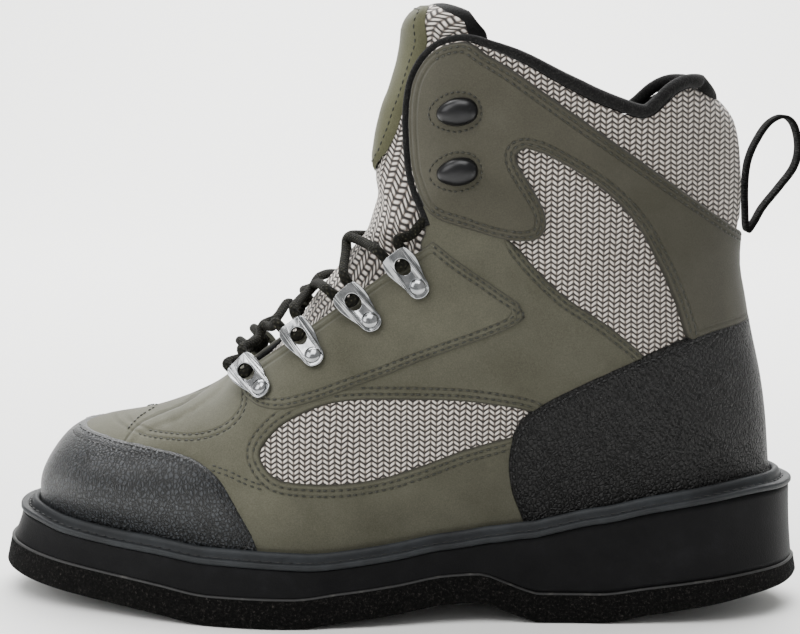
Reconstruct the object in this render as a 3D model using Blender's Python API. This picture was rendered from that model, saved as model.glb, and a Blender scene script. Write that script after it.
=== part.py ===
"""Wading boot for the left foot: felt outsole, midsole, storm welt, insole, hollow upper with its
overlays, tongue, laces with rings and hooks, collar binding and pull loop.

Metres, +Z up. The toe points along -X, the outer side of the foot is -Y, and the origin lies on the
floor below the middle of the boot's box.
"""
import math
from collections import namedtuple

import bmesh
import bpy
from mathutils import Matrix, Vector
from mathutils.bvhtree import BVHTree

# Driving sizes of the whole boot
SOLE_LENGTH = 0.330
SOLE_WIDTH = 0.119
FLANGE_LENGTH = 0.321
FLANGE_WIDTH = 0.114
UPPER_HEIGHT = 0.218
GAP = 0.0003

# Sole
FELT_THICKNESS = 0.0115
MIDSOLE_FORE = 0.0108
HEEL_LIFT = 0.0200
TOE_SPRING = 0.0120
FELT_EDGE = 0.0014
MIDSOLE_RECESS = 0.0010
WELT_THICKNESS = 0.0020
WELT_INNER = 0.0050
WELT_SEAT = 0.0005
BEAD_WIDTH = 0.0034
BEAD_HEIGHT = 0.0032
BEAD_INNER_RISE = 0.8
FELT_TOP_LEAN = 1 / 3
INSOLE_THICKNESS = 0.0040

# Upper and what is laid on it
UPPER_WALL = 0.0025
BEAD_CLEAR = 0.0030
INSOLE_CLEAR = 0.0022
FLANGE_SHIFT = 0.0015
UPPER_INSET = 0.0105
VAMP_THICKNESS = 0.0012
CAP_THICKNESS = 0.0017
FACING_THICKNESS = 0.0019

# How far the upper stays above the welt, the width that side cutters span, and how far those of one
# side stay from the middle
FOOT_CLEAR = 0.0010
CUTTER_SPAN = 0.160
MIDDLE_CLEAR = 0.0065

# Tongue: it stays under the upper's wall near the throat's edges and swells out of the open throat
TONGUE_THICKNESS = 0.0065
TONGUE_REACH = 0.0320
TONGUE_CLEAR = 0.0014
TONGUE_SWELL = 0.0018
TONGUE_EDGE = 0.0050
TONGUE_RAMP = 0.0080
TONGUE_COLUMNS = 8
PATCH_THICKNESS = 0.0008
PATCH_LIFT = 0.0014
PATCH_COLUMNS = 6

# Binding: its radius in front and round the back, and how it sits on the edge
BINDING_FRONT = 0.0013
BINDING_BACK = 0.0026
BINDING_SEAT = 0.0004
BINDING_PROBE = 0.0010
BINDING_TURN = 0.58
BINDING_SWELL = 0.14
BINDING_BACK_DEPTH = 0.0118
BINDING_BACK_STEPS = 6

# Laces, rings, rivets and hooks
LACE_RADIUS = 0.0020
LACE_OVER = 0.0056
LACE_POINTS = 7
LACE_FIRST = 0.20
LACE_LAST = 0.86
RING_LENGTH = 0.0205
RING_WIDTH = 0.0130
RING_THICKNESS = 0.0016
RING_RISE = 0.0030
RING_HOLE = 0.0038
RING_BAR = 0.0022
RING_NOSE = 0.75
HOLE_AHEAD = RING_LENGTH * RING_NOSE - RING_HOLE - RING_BAR
RIVET_RADIUS = 0.0033
RIVET_HEIGHT = 0.0018
RIVET_SIDES = 8
HOOK_LENGTH = 0.0168
HOOK_WIDTH = 0.0098
HOOK_HEIGHT = 0.0050
HOOK_SIDES = 12
HOOK_NARROWING = 0.38
HOOK_TAPER = 1.5
HARDWARE_SEAT = 0.0008

# Pull loop
LOOP_WIDTH = 0.0140
LOOP_THICKNESS = 0.0020
LOOP_HEIGHT = 0.0460
LOOP_REACH = 0.0220

# The foot level is where the upper starts at the ball of the foot
FOOT_LEVEL = FELT_THICKNESS + GAP + MIDSOLE_FORE + WELT_SEAT + WELT_THICKNESS + GAP

# Plan of the sole, toe to heel: along is a share of the sole's length, outer and inner are shares
# of its width, measured from the middle line.
PlanRow = namedtuple("PlanRow", "along outer inner")
SOLE_PLAN = [
    PlanRow(0.000, 0.076, 0.076),
    PlanRow(0.009, -0.067, 0.214),
    PlanRow(0.036, -0.172, 0.319),
    PlanRow(0.085, -0.277, 0.399),
    PlanRow(0.152, -0.361, 0.454),
    PlanRow(0.242, -0.450, 0.487),
    PlanRow(0.348, -0.503, 0.492),
    PlanRow(0.455, -0.475, 0.424),
    PlanRow(0.576, -0.403, 0.349),
    PlanRow(0.691, -0.380, 0.336),
    PlanRow(0.803, -0.378, 0.361),
    PlanRow(0.885, -0.351, 0.337),
    PlanRow(0.945, -0.268, 0.260),
    PlanRow(0.982, -0.157, 0.152),
    PlanRow(1.000, 0.000, 0.000),
]

# Side of the sole: spring lifts the felt off the floor as a share of the toe spring, felt is its
# thickness as a share of the full one, and lift is the midsole's extra height over the forefoot as
# a share of the heel lift.
SideRow = namedtuple("SideRow", "along spring felt lift")
SOLE_SIDE = [
    SideRow(0.000, 0.960, 0.960, 0.060),
    SideRow(0.045, 0.730, 1.000, 0.075),
    SideRow(0.091, 0.590, 1.000, 0.005),
    SideRow(0.152, 0.420, 1.000, 0.000),
    SideRow(0.212, 0.240, 1.000, 0.030),
    SideRow(0.280, 0.000, 1.000, 0.060),
    SideRow(0.380, 0.000, 1.000, 0.015),
    SideRow(0.430, 0.160, 1.000, -0.060),
    SideRow(0.500, 0.380, 1.000, -0.045),
    SideRow(0.564, 0.640, 1.000, -0.035),
    SideRow(0.600, 0.670, 1.000, 0.035),
    SideRow(0.625, 0.450, 1.000, 0.215),
    SideRow(0.648, 0.190, 1.000, 0.430),
    SideRow(0.673, 0.000, 1.000, 0.605),
    SideRow(0.742, 0.000, 1.000, 0.855),
    SideRow(0.800, 0.270, 0.940, 0.945),
    SideRow(0.864, 0.530, 0.890, 1.000),
    SideRow(0.930, 0.800, 0.780, 1.040),
    SideRow(1.000, 1.000, 0.620, 0.970),
]

# Sections of the upper, fanned from the toe over the instep to the collar. Each runs from its low
# point on the sole, or up the back, to its top point on the ridge. low_x and top_x are shares of
# the foot's length, low_up and top_up of the upper's height, and ridge, outer and inner of the
# sole's width. widest is where the section is widest, square how boxy its top is, and roll how far
# its foot is rounded in, from 0 where it stands on the sole to 1 round the back.
SectionRow = namedtuple("SectionRow", "low_x low_up top_x top_up ridge outer inner widest square roll")
UPPER_SECTIONS = [
    SectionRow(0.000, 0.000, 0.000, 0.080, 0.071, 0.000, 0.000, 0.45, 2.6, 0.00),
    SectionRow(0.003, 0.000, 0.003, 0.103, 0.071, 0.072, 0.070, 0.45, 2.6, 0.00),
    SectionRow(0.012, 0.000, 0.011, 0.128, 0.071, 0.130, 0.122, 0.44, 2.6, 0.00),
    SectionRow(0.036, 0.000, 0.040, 0.180, 0.069, 0.214, 0.206, 0.42, 2.6, 0.00),
    SectionRow(0.079, 0.000, 0.080, 0.206, 0.063, 0.300, 0.288, 0.40, 2.5, 0.00),
    SectionRow(0.149, 0.000, 0.149, 0.225, 0.050, 0.362, 0.350, 0.38, 2.3, 0.00),
    SectionRow(0.193, 0.000, 0.198, 0.248, 0.042, 0.392, 0.373, 0.36, 2.2, 0.00),
    SectionRow(0.232, 0.000, 0.243, 0.275, 0.034, 0.416, 0.391, 0.34, 2.1, 0.00),
    SectionRow(0.325, 0.000, 0.310, 0.359, 0.017, 0.441, 0.395, 0.30, 2.1, 0.00),
    SectionRow(0.415, 0.000, 0.370, 0.450, 0.000, 0.412, 0.370, 0.29, 2.2, 0.00),
    SectionRow(0.499, 0.000, 0.427, 0.528, -0.004, 0.370, 0.328, 0.30, 2.3, 0.05),
    SectionRow(0.592, 0.000, 0.457, 0.584, 0.000, 0.349, 0.311, 0.34, 2.5, 0.12),
    SectionRow(0.699, 0.000, 0.465, 0.634, 0.000, 0.332, 0.315, 0.40, 2.7, 0.22),
    SectionRow(0.816, 0.000, 0.466, 0.675, 0.000, 0.324, 0.315, 0.44, 2.8, 0.38),
    SectionRow(0.929, 0.000, 0.467, 0.712, 0.000, 0.319, 0.315, 0.47, 2.9, 0.62),
    SectionRow(0.979, 0.000, 0.468, 0.734, 0.000, 0.317, 0.314, 0.49, 3.0, 0.86),
    SectionRow(1.000, 0.000, 0.469, 0.757, 0.000, 0.315, 0.314, 0.50, 3.0, 1.00),
    SectionRow(0.995, 0.092, 0.471, 0.784, 0.000, 0.315, 0.314, 0.52, 3.0, 1.00),
    SectionRow(0.984, 0.188, 0.474, 0.812, 0.000, 0.315, 0.314, 0.54, 3.0, 1.00),
    SectionRow(0.966, 0.289, 0.478, 0.835, 0.000, 0.316, 0.315, 0.56, 3.0, 1.00),
    SectionRow(0.953, 0.436, 0.484, 0.867, 0.000, 0.320, 0.318, 0.58, 3.0, 1.00),
    SectionRow(0.947, 0.564, 0.492, 0.899, 0.000, 0.328, 0.326, 0.59, 3.0, 1.00),
    SectionRow(0.930, 0.665, 0.501, 0.931, 0.000, 0.338, 0.336, 0.59, 3.0, 1.00),
    SectionRow(0.915, 0.745, 0.510, 0.963, 0.000, 0.345, 0.343, 0.59, 3.0, 1.00),
    SectionRow(0.911, 0.775, 0.530, 0.986, 0.000, 0.348, 0.346, 0.59, 3.0, 1.00),
    SectionRow(0.908, 0.800, 0.554, 0.998, 0.000, 0.350, 0.348, 0.59, 3.0, 1.00),
]

# Edges of panels and openings, seen from the side: along is a share of the foot's length, and up
# is a share of the upper's height above the foot level. Edges that panels share are written once.
Spot = namedtuple("Spot", "along up")
THROAT_FOOT = [Spot(0.200, 0.420), Spot(0.247, 0.283), Spot(0.262, 0.292), Spot(0.281, 0.311)]
THROAT_MIDDLE = [
    Spot(0.300, 0.330), Spot(0.338, 0.369), Spot(0.402, 0.433), Spot(0.468, 0.500),
    Spot(0.502, 0.534), Spot(0.532, 0.563),
]
THROAT_NECK = [Spot(0.537, 0.574), Spot(0.541, 0.585), Spot(0.537, 0.601), Spot(0.531, 0.622)]
THROAT_HIGH = [
    Spot(0.518, 0.660), Spot(0.510, 0.705), Spot(0.506, 0.784), Spot(0.510, 0.845),
    Spot(0.522, 0.885), Spot(0.540, 0.912), Spot(0.561, 0.924), Spot(0.583, 0.925),
]
COLLAR_EDGE = [
    Spot(0.605, 0.915), Spot(0.647, 0.892), Spot(0.698, 0.853), Spot(0.737, 0.826),
    Spot(0.776, 0.805), Spot(0.800, 0.795), Spot(0.815, 0.796), Spot(0.828, 0.808),
    Spot(0.848, 0.834), Spot(0.866, 0.847), Spot(0.884, 0.848), Spot(0.905, 0.840),
]
FACING_EDGE = [
    Spot(0.291, 0.284), Spot(0.318, 0.267), Spot(0.350, 0.268), Spot(0.397, 0.288),
    Spot(0.423, 0.302), Spot(0.476, 0.329), Spot(0.529, 0.359), Spot(0.608, 0.399),
    Spot(0.648, 0.424), Spot(0.662, 0.443), Spot(0.656, 0.461), Spot(0.626, 0.489),
    Spot(0.574, 0.537), Spot(0.550, 0.562),
]
BAND_FRONT_EDGE = [Spot(0.567, 0.599), Spot(0.612, 0.582), Spot(0.645, 0.574)]
BAND_LOBE_EDGE = [
    Spot(0.674, 0.578), Spot(0.685, 0.602), Spot(0.682, 0.634), Spot(0.664, 0.675),
    Spot(0.648, 0.710), Spot(0.645, 0.728), Spot(0.652, 0.738), Spot(0.664, 0.738),
    Spot(0.684, 0.728), Spot(0.729, 0.694), Spot(0.770, 0.653), Spot(0.805, 0.600),
    Spot(0.828, 0.545), Spot(0.848, 0.488), Spot(0.866, 0.420), Spot(0.876, 0.340),
]
BAND_TOP_EDGE = [
    Spot(1.000, 0.570), Spot(0.951, 0.587), Spot(0.915, 0.617), Spot(0.887, 0.643),
    Spot(0.833, 0.694), Spot(0.783, 0.741), Spot(0.740, 0.781), Spot(0.699, 0.820),
    Spot(0.640, 0.876), Spot(0.606, 0.904),
]
ANKLE_WINDOW_EDGE = [
    Spot(0.666, 0.536), Spot(0.712, 0.475), Spot(0.762, 0.431), Spot(0.812, 0.377),
    Spot(0.840, 0.340),
]
TOE_CAP = [
    Spot(0.035, 0.260), Spot(0.045, 0.210), Spot(0.052, 0.199), Spot(0.073, 0.196),
    Spot(0.098, 0.193), Spot(0.121, 0.189), Spot(0.166, 0.185), Spot(0.208, 0.180),
    Spot(0.238, 0.169), Spot(0.264, 0.146), Spot(0.282, 0.110), Spot(0.298, 0.070),
    Spot(0.312, 0.027), Spot(0.322, -0.040), Spot(0.322, -0.150), Spot(-0.150, -0.150),
    Spot(-0.150, 0.260),
]
HEEL_COUNTER = [
    Spot(1.150, 0.445), Spot(0.990, 0.438), Spot(0.950, 0.426), Spot(0.890, 0.410),
    Spot(0.810, 0.367), Spot(0.732, 0.317), Spot(0.681, 0.280), Spot(0.652, 0.243),
    Spot(0.640, 0.185), Spot(0.644, 0.123), Spot(0.658, 0.071), Spot(0.676, 0.000),
    Spot(0.690, -0.150), Spot(1.150, -0.150),
]
WINDOW = [
    Spot(0.317, 0.190), Spot(0.331, 0.224), Spot(0.357, 0.253), Spot(0.400, 0.279),
    Spot(0.450, 0.288), Spot(0.555, 0.287), Spot(0.620, 0.279), Spot(0.675, 0.262),
    Spot(0.668, 0.232), Spot(0.642, 0.220), Spot(0.582, 0.197), Spot(0.530, 0.171),
    Spot(0.477, 0.149), Spot(0.424, 0.140), Spot(0.371, 0.142), Spot(0.337, 0.152),
]
OPENING = (THROAT_FOOT + THROAT_MIDDLE + THROAT_NECK + THROAT_HIGH + COLLAR_EDGE
           + [Spot(0.950, 0.832), Spot(1.200, 0.832), Spot(1.200, 1.250), Spot(0.200, 1.250)])
LACE_FACING = THROAT_FOOT[-1:] + FACING_EDGE + THROAT_NECK[:1] + THROAT_MIDDLE[::-1]
ANKLE_BAND = (THROAT_NECK[-1:] + BAND_FRONT_EDGE + BAND_LOBE_EDGE
              + [Spot(1.150, 0.340), Spot(1.150, 0.560)] + BAND_TOP_EDGE + THROAT_HIGH[::-1])
ABOVE_QUARTER = (THROAT_FOOT + FACING_EDGE + THROAT_NECK + BAND_FRONT_EDGE + ANKLE_WINDOW_EDGE
                 + [Spot(1.200, 0.340), Spot(1.200, 1.250), Spot(0.200, 1.250)])

# Edge that the binding follows, from the foot of the throat to the middle of the back
BOUND_EDGE = THROAT_NECK[2:] + THROAT_HIGH + COLLAR_EDGE[:-1] + [Spot(0.901, 0.842)]

# Pull loop from the foot of its root round to it again: along is a share of the loop's reach,
# up of its height, both from the root
LOOP_PATH_ROOT = Spot(0.9635, 0.586)
LOOP_PATH = [
    Spot(0.000, 0.000), Spot(-0.045, 0.220), Spot(-0.055, 0.440), Spot(-0.010, 0.620),
    Spot(0.120, 0.780), Spot(0.340, 0.940), Spot(0.600, 1.000), Spot(0.800, 0.930),
    Spot(0.900, 0.740), Spot(0.830, 0.560), Spot(0.570, 0.380), Spot(0.280, 0.200),
    Spot(0.120, 0.060),
]

# Lace ends, from near the top ring to where they tuck behind the throat's edge: out is the height
# of the cord's middle over the upper's surface, as a share of its height over the crossings.
EndRow = namedtuple("EndRow", "along up out")
LACE_END = [
    EndRow(0.503, 0.548, 1.00),
    EndRow(0.509, 0.566, 0.75),
    EndRow(0.516, 0.583, 0.50),
    EndRow(0.522, 0.598, 0.32),
]

# Rings and hooks on each side: where the rivet sits and where the ring's hole or hook's nose lies
RingRow = namedtuple("RingRow", "along up hole_along hole_up")
RINGS = [
    RingRow(0.320, 0.296, 0.299, 0.318),
    RingRow(0.387, 0.358, 0.370, 0.384),
    RingRow(0.460, 0.423, 0.440, 0.449),
    RingRow(0.522, 0.487, 0.504, 0.520),
]
HOOKS = [
    RingRow(0.570, 0.803, 0.545, 0.797),
    RingRow(0.571, 0.697, 0.546, 0.690),
]

# Half of a lace ring's edge from its nose to its tail: ahead and beside are shares of its length
# and of its half width.
EdgeRow = namedtuple("EdgeRow", "ahead beside")
RING_EDGE = [
    EdgeRow(RING_NOSE, 0.00),
    EdgeRow(0.730, 0.66),
    EdgeRow(0.600, 0.92),
    EdgeRow(0.300, 1.00),
    EdgeRow(0.020, 0.78),
    EdgeRow(-0.170, 0.58),
    EdgeRow(-0.250, 0.00),
]

# Domes of rivets and hooks, from their foot up: rise is a share of the height, and wide of the outline
DomeRow = namedtuple("DomeRow", "rise wide")
DOME = [
    DomeRow(0.00, 1.00),
    DomeRow(0.55, 0.90),
    DomeRow(1.00, 0.45),
]

# Tongue from inside the vamp to its top: place among the upper's sections, and reach back along the
# section as a share of the tongue's full reach.
TongueRow = namedtuple("TongueRow", "place reach")
TONGUE = [
    TongueRow(5.6, 0.31),
    TongueRow(6.4, 0.41),
    TongueRow(7.0, 0.50),
    TongueRow(8.0, 0.66),
    TongueRow(9.0, 0.75),
    TongueRow(10.0, 0.84),
    TongueRow(11.0, 0.91),
    TongueRow(12.0, 0.95),
    TongueRow(13.0, 0.98),
    TongueRow(15.0, 1.00),
    TongueRow(17.0, 0.98),
    TongueRow(19.0, 0.96),
    TongueRow(21.0, 0.93),
    TongueRow(22.0, 0.90),
    TongueRow(23.0, 0.81),
    TongueRow(24.0, 0.66),
    TongueRow(25.0, 0.47),
]

# Oval patch: place among the sections, and half width as a share of the tongue's width
PatchRow = namedtuple("PatchRow", "place half")
PATCH = [
    PatchRow(13.3, 0.02),
    PatchRow(14.0, 0.20),
    PatchRow(15.0, 0.30),
    PatchRow(17.0, 0.37),
    PatchRow(19.0, 0.38),
    PatchRow(21.0, 0.38),
    PatchRow(22.0, 0.41),
    PatchRow(23.0, 0.43),
    PatchRow(23.6, 0.37),
    PatchRow(24.0, 0.22),
]

# Shape of the sections' lower part round the back and above the sole, the places of points along
# half a section from its foot to the ridge, the steps between two rows of the plan, and how near
# points are that count as one
BACK_SQUARE = 2.35
FOOT_SQUARE = 4.0
GIRTH_SHARES = (0.0, 0.012, 0.090, 0.235, 0.420, 0.620, 0.805, 0.930, 1.0)
PLAN_STEPS = 2
LAST_PLACE = len(UPPER_SECTIONS) - 1.0
NORMAL_STEP = 0.02
FEATHER_STEPS = 8
MERGE = GAP / 15
THIN = GAP / 30


def steady(values, place):
    """Value at a place between rows, on a curve that never swings past the rows beside it."""
    last = len(values) - 1
    i = min(max(int(place), 0), last - 1)
    t = place - i

    def slope(k):
        if k <= 0 or k >= last:
            return 0.0
        before = values[k] - values[k - 1]
        after = values[k + 1] - values[k]
        if before * after <= 0:
            return 0.0
        return 2 * before * after / (before + after)

    first = slope(i) if i > 0 else values[1] - values[0]
    second = slope(i + 1) if i + 1 < last else values[last] - values[last - 1]
    t2, t3 = t * t, t * t * t
    return (values[i] * (2 * t3 - 3 * t2 + 1) + first * (t3 - 2 * t2 + t)
            + values[i + 1] * (3 * t2 - 2 * t3) + second * (t3 - t2))


def place_at(values, wanted):
    """Place between rows where a rising column has the wanted value."""
    if wanted <= values[0]:
        return 0.0
    for i in range(len(values) - 1):
        if wanted <= values[i + 1]:
            return i + (wanted - values[i]) / (values[i + 1] - values[i])
    return len(values) - 1.0


def column(rows, name):
    return [getattr(row, name) for row in rows]


def catmull(points, steps, closed=False):
    """Smooth line through the points, with the given number of steps between two of them."""
    count = len(points)
    spans = count if closed else count - 1
    line = []
    for i in range(spans):
        if closed:
            p = [points[(i + k - 1) % count] for k in range(4)]
        else:
            p = [points[min(max(i + k - 1, 0), count - 1)] for k in range(4)]
        for step in range(steps):
            t = step / steps
            line.append(tuple(
                0.5 * (2 * b + (c - a) * t + (2 * a - 5 * b + 4 * c - d) * t * t
                       + (3 * b - a - 3 * c + d) * t ** 3)
                for a, b, c, d in zip(*p)))
    if not closed:
        line.append(tuple(points[-1]))
    return line


def sole_outline(length, width, steps=PLAN_STEPS):
    """Closed plan outline, from the toe down the outer side to the heel and back up the inner side."""
    middle = SOLE_PLAN[0].along + 0.5
    outer = [((r.along - middle) * length, r.outer * width) for r in SOLE_PLAN]
    inner = [((r.along - middle) * length, r.inner * width) for r in SOLE_PLAN[-2:0:-1]]
    return catmull(outer + inner, steps, closed=True)


def grown(outline, amount):
    """Outline moved outwards along its own normals."""
    count = len(outline)
    moved = []
    for i, (x, y) in enumerate(outline):
        ahead = Vector(outline[(i + 1) % count])
        behind = Vector(outline[i - 1])
        along = (ahead - behind).normalized()
        moved.append((x + along.y * amount, y - along.x * amount))
    return moved


def felt_bottom(x):
    place = place_at(column(SOLE_SIDE, "along"), x / SOLE_LENGTH + 0.5)
    return TOE_SPRING * steady(column(SOLE_SIDE, "spring"), place)


def felt_top(x):
    place = place_at(column(SOLE_SIDE, "along"), x / SOLE_LENGTH + 0.5)
    return felt_bottom(x) + FELT_THICKNESS * steady(column(SOLE_SIDE, "felt"), place)


def midsole_top(x):
    place = place_at(column(SOLE_SIDE, "along"), x / SOLE_LENGTH + 0.5)
    return felt_top(x) + GAP + MIDSOLE_FORE + HEEL_LIFT * steady(column(SOLE_SIDE, "lift"), place)


def welt_top(x):
    return midsole_top(x) + WELT_SEAT + WELT_THICKNESS


def flange_outline(steps=PLAN_STEPS):
    """Outline of the welt's flange, which leans in from the felt's."""
    return [(x + FLANGE_SHIFT, y) for x, y in sole_outline(FLANGE_LENGTH, FLANGE_WIDTH, steps)]


def feather_outline(steps=PLAN_STEPS):
    """Outline of the upper where it meets the welt."""
    return grown(flange_outline(steps), -UPPER_INSET)


FEATHER = feather_outline(FEATHER_STEPS)
FOOT_START = min(x for x, y in FEATHER)
FOOT_LENGTH = max(x for x, y in FEATHER) - FOOT_START


def feather_y(x, side):
    """Edge of the upper's foot at a place along the boot, side -1 outer and +1 inner."""
    half = len(FEATHER) // 2
    edge = sorted(FEATHER[:half + 1] if side < 0 else FEATHER[half:] + FEATHER[:1])
    place = place_at([p[0] for p in edge], x)
    i = min(int(place), len(edge) - 2)
    t = place - i
    return edge[i][1] * (1 - t) + edge[i + 1][1] * t


def along(share):
    return FOOT_START + share * FOOT_LENGTH


def up(share):
    return FOOT_LEVEL + share * UPPER_HEIGHT


def section_point(place, t, side):
    """Point of the upper's outer surface: place is the section, t runs from low to top point."""
    row = {name: steady(column(UPPER_SECTIONS, name), place) for name in SectionRow._fields}
    low_x = along(min(row["low_x"], 1.0))
    low_z = welt_top(low_x) + FOOT_CLEAR + row["low_up"] * UPPER_HEIGHT
    top_x = along(row["top_x"])
    top_z = up(row["top_up"])
    ridge = row["ridge"] * SOLE_WIDTH
    widest = row["outer" if side < 0 else "inner"] * SOLE_WIDTH
    foot = 0.0
    if row["low_up"] <= 0 and row["low_x"] < 1:
        foot = max(side * (feather_y(low_x, side) - ridge), 0.0)
    if t < row["widest"]:
        u = t / row["widest"]
        standing = u * u * (3 - 2 * u)
        if row["roll"] >= 1:
            rolled = math.sqrt(max(1 - (1 - u) ** BACK_SQUARE, 0.0))
        else:
            rolled = 1 - (1 - u) ** FOOT_SQUARE
        half = foot + (widest - foot) * (standing * (1 - row["roll"]) + rolled * row["roll"])
    else:
        u = (t - row["widest"]) / (1 - row["widest"])
        half = widest * math.sqrt(max(1 - u ** row["square"], 0.0))
    return Vector((low_x + (top_x - low_x) * t, ridge + side * half, low_z + (top_z - low_z) * t))


def upper_surface(offset=0.0, trimmed=False):
    """Outer surface of the upper as one open sheet, moved out by the offset.

    It runs from the outer edge over the ridge to the inner edge. Trimmed, it starts one step up
    from the foot wherever its sections stand on the sole, but for the one at the back."""
    bm = bmesh.new()
    rows = []
    for place, row in enumerate(UPPER_SECTIONS):
        shares = list(GIRTH_SHARES)
        if trimmed and row.low_up <= 0 and row.low_x < 1:
            shares[0] = shares[1]
        outer = [section_point(place, t, -1) for t in shares]
        inner = [section_point(place, t, 1) for t in shares[:-1]]
        rows.append([bm.verts.new(p) for p in outer + inner[::-1]])
    for one, two in zip(rows, rows[1:]):
        for j in range(len(one) - 1):
            a, b, c, d = one[j], one[j + 1], two[j + 1], two[j]
            if j < len(GIRTH_SHARES) - 1:
                corners = (a, b, d), (b, c, d)
            else:
                corners = (a, b, c), (a, c, d)
            for three in corners:
                bm.faces.new(three)
    bmesh.ops.remove_doubles(bm, verts=bm.verts, dist=MERGE)
    bmesh.ops.dissolve_degenerate(bm, edges=bm.edges, dist=THIN)
    bmesh.ops.recalc_face_normals(bm, faces=bm.faces)
    bm.normal_update()
    moved = [(v, v.co + v.normal * offset) for v in bm.verts]
    for v, co in moved:
        v.co = co
    return bm


def material(name, colour, roughness, metallic=0.0):
    """Principled material with an sRGB hex colour."""
    made = bpy.data.materials.new(name)
    made.use_nodes = True
    shader = made.node_tree.nodes["Principled BSDF"]
    channels = [int(colour[i:i + 2], 16) / 255 for i in (1, 3, 5)]
    linear = [c / 12.92 if c <= 0.04045 else ((c + 0.055) / 1.055) ** 2.4 for c in channels]
    shader.inputs["Base Color"].default_value = (*linear, 1.0)
    shader.inputs["Roughness"].default_value = roughness
    shader.inputs["Metallic"].default_value = metallic
    return made


def add_object(name, bm, finish):
    """Named object from a bmesh, with its material."""
    mesh = bpy.data.meshes.new(name)
    bm.to_mesh(mesh)
    bm.free()
    piece = bpy.data.objects.new(name, mesh)
    bpy.context.scene.collection.objects.link(piece)
    mesh.materials.append(finish)
    return piece


def solid_of_rings(rings, closed_ring=False):
    """Closed solid through rings of points, capped at both ends or joined into a ring itself."""
    bm = bmesh.new()
    loops = [[bm.verts.new(p) for p in ring] for ring in rings]
    count = len(loops[0])
    pairs = list(zip(loops, loops[1:]))
    if closed_ring:
        pairs.append((loops[-1], loops[0]))
    for one, two in pairs:
        for i in range(count):
            j = (i + 1) % count
            bm.faces.new((one[i], one[j], two[j], two[i]))
    if not closed_ring:
        for loop in (loops[0], loops[-1]):
            half = count // 2
            bm.faces.new((loop[0], loop[1], loop[-1]))
            for i in range(1, half - 1):
                bm.faces.new((loop[i], loop[i + 1], loop[-i - 1], loop[-i]))
            bm.faces.new((loop[half - 1], loop[half], loop[half + 1]))
    bmesh.ops.recalc_face_normals(bm, faces=bm.faces)
    return bm


def ring_at(outline, height, extra=0.0):
    return [(x, y, height(x) + extra) for x, y in outline]


def build_sole():
    """Felt, midsole, welt and insole."""
    felt = sole_outline(SOLE_LENGTH, SOLE_WIDTH)
    flange = flange_outline()
    feather = feather_outline()
    felt_finish = material("felt", "#1c1b1a", 0.95)
    rubber_finish = material("midsole_rubber", "#232427", 0.6)
    welt_finish = material("welt_rubber", "#3b3f43", 0.5)
    lining_finish = material("insole_foam", "#2a2b2c", 0.9)
    middle = [(a[0] + (b[0] - a[0]) * FELT_TOP_LEAN, a[1] + (b[1] - a[1]) * FELT_TOP_LEAN)
              for a, b in zip(felt, flange)]
    add_object("felt_outsole", solid_of_rings([
        ring_at(grown(felt, -FELT_EDGE), felt_bottom),
        ring_at(felt, felt_bottom, FELT_EDGE),
        ring_at(middle, felt_top)]), felt_finish)
    recessed = grown(middle, -MIDSOLE_RECESS)
    add_object("midsole", solid_of_rings([
        ring_at(recessed, felt_top, GAP),
        ring_at(grown(flange, -MIDSOLE_RECESS), midsole_top)]), rubber_finish)
    bead_in = grown(feather, BEAD_CLEAR)
    bead_mid = grown(feather, BEAD_CLEAR + BEAD_WIDTH / 2)
    bead_out = grown(feather, BEAD_CLEAR + BEAD_WIDTH)
    seat = grown(feather, -WELT_INNER)
    add_object("welt", solid_of_rings([
        ring_at(seat, midsole_top, WELT_SEAT),
        ring_at(flange, midsole_top, WELT_SEAT),
        ring_at(flange, welt_top),
        ring_at(bead_out, welt_top),
        ring_at(bead_mid, welt_top, BEAD_HEIGHT),
        ring_at(bead_in, welt_top, BEAD_HEIGHT * BEAD_INNER_RISE),
        ring_at(bead_in, welt_top),
        ring_at(seat, welt_top)], closed_ring=True), welt_finish)
    inside = grown(feather, -UPPER_WALL - INSOLE_CLEAR)
    add_object("insole", solid_of_rings([
        ring_at(inside, welt_top, GAP),
        ring_at(inside, welt_top, GAP + INSOLE_THICKNESS)]), lining_finish)


def wall(piece, thickness, outwards):
    """Gives a sheet its thickness, on its outer or its inner side."""
    solid = piece.modifiers.new("wall", "SOLIDIFY")
    solid.thickness = thickness
    solid.offset = 1.0 if outwards else -1.0


def side_cutter(name, spots, side=0, gap=0.0):
    """Prism of a side outline, through the whole boot or through its outer or inner half."""
    line = [(along(spot.along), up(spot.up)) for spot in spots]
    area = sum(a[0] * b[1] - b[0] * a[1] for a, b in zip(line, line[1:] + line[:1]))
    line = grown(line, gap if area > 0 else -gap)
    start = MIDDLE_CLEAR if side else -CUTTER_SPAN / 2
    bm = bmesh.new()
    near = [bm.verts.new((x, start, z)) for x, z in line]
    face = bm.faces.new(near)
    pulled = bmesh.ops.extrude_face_region(bm, geom=[face])
    far = [v for v in pulled["geom"] if isinstance(v, bmesh.types.BMVert)]
    bmesh.ops.translate(bm, verts=far, vec=(0.0, CUTTER_SPAN / 2 - start, 0.0))
    if side < 0:
        bmesh.ops.scale(bm, verts=bm.verts, vec=(1.0, -1.0, 1.0))
    bmesh.ops.recalc_face_normals(bm, faces=bm.faces)
    cutter = add_object(name, bm, CUTTER_FINISH)
    cutter.hide_render = True
    cutter.display_type = "WIRE"
    return cutter


def cut(piece, cutter, operation="DIFFERENCE"):
    boolean = piece.modifiers.new(cutter.name, "BOOLEAN")
    boolean.solver = "EXACT"
    boolean.operation = operation
    boolean.object = cutter


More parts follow.
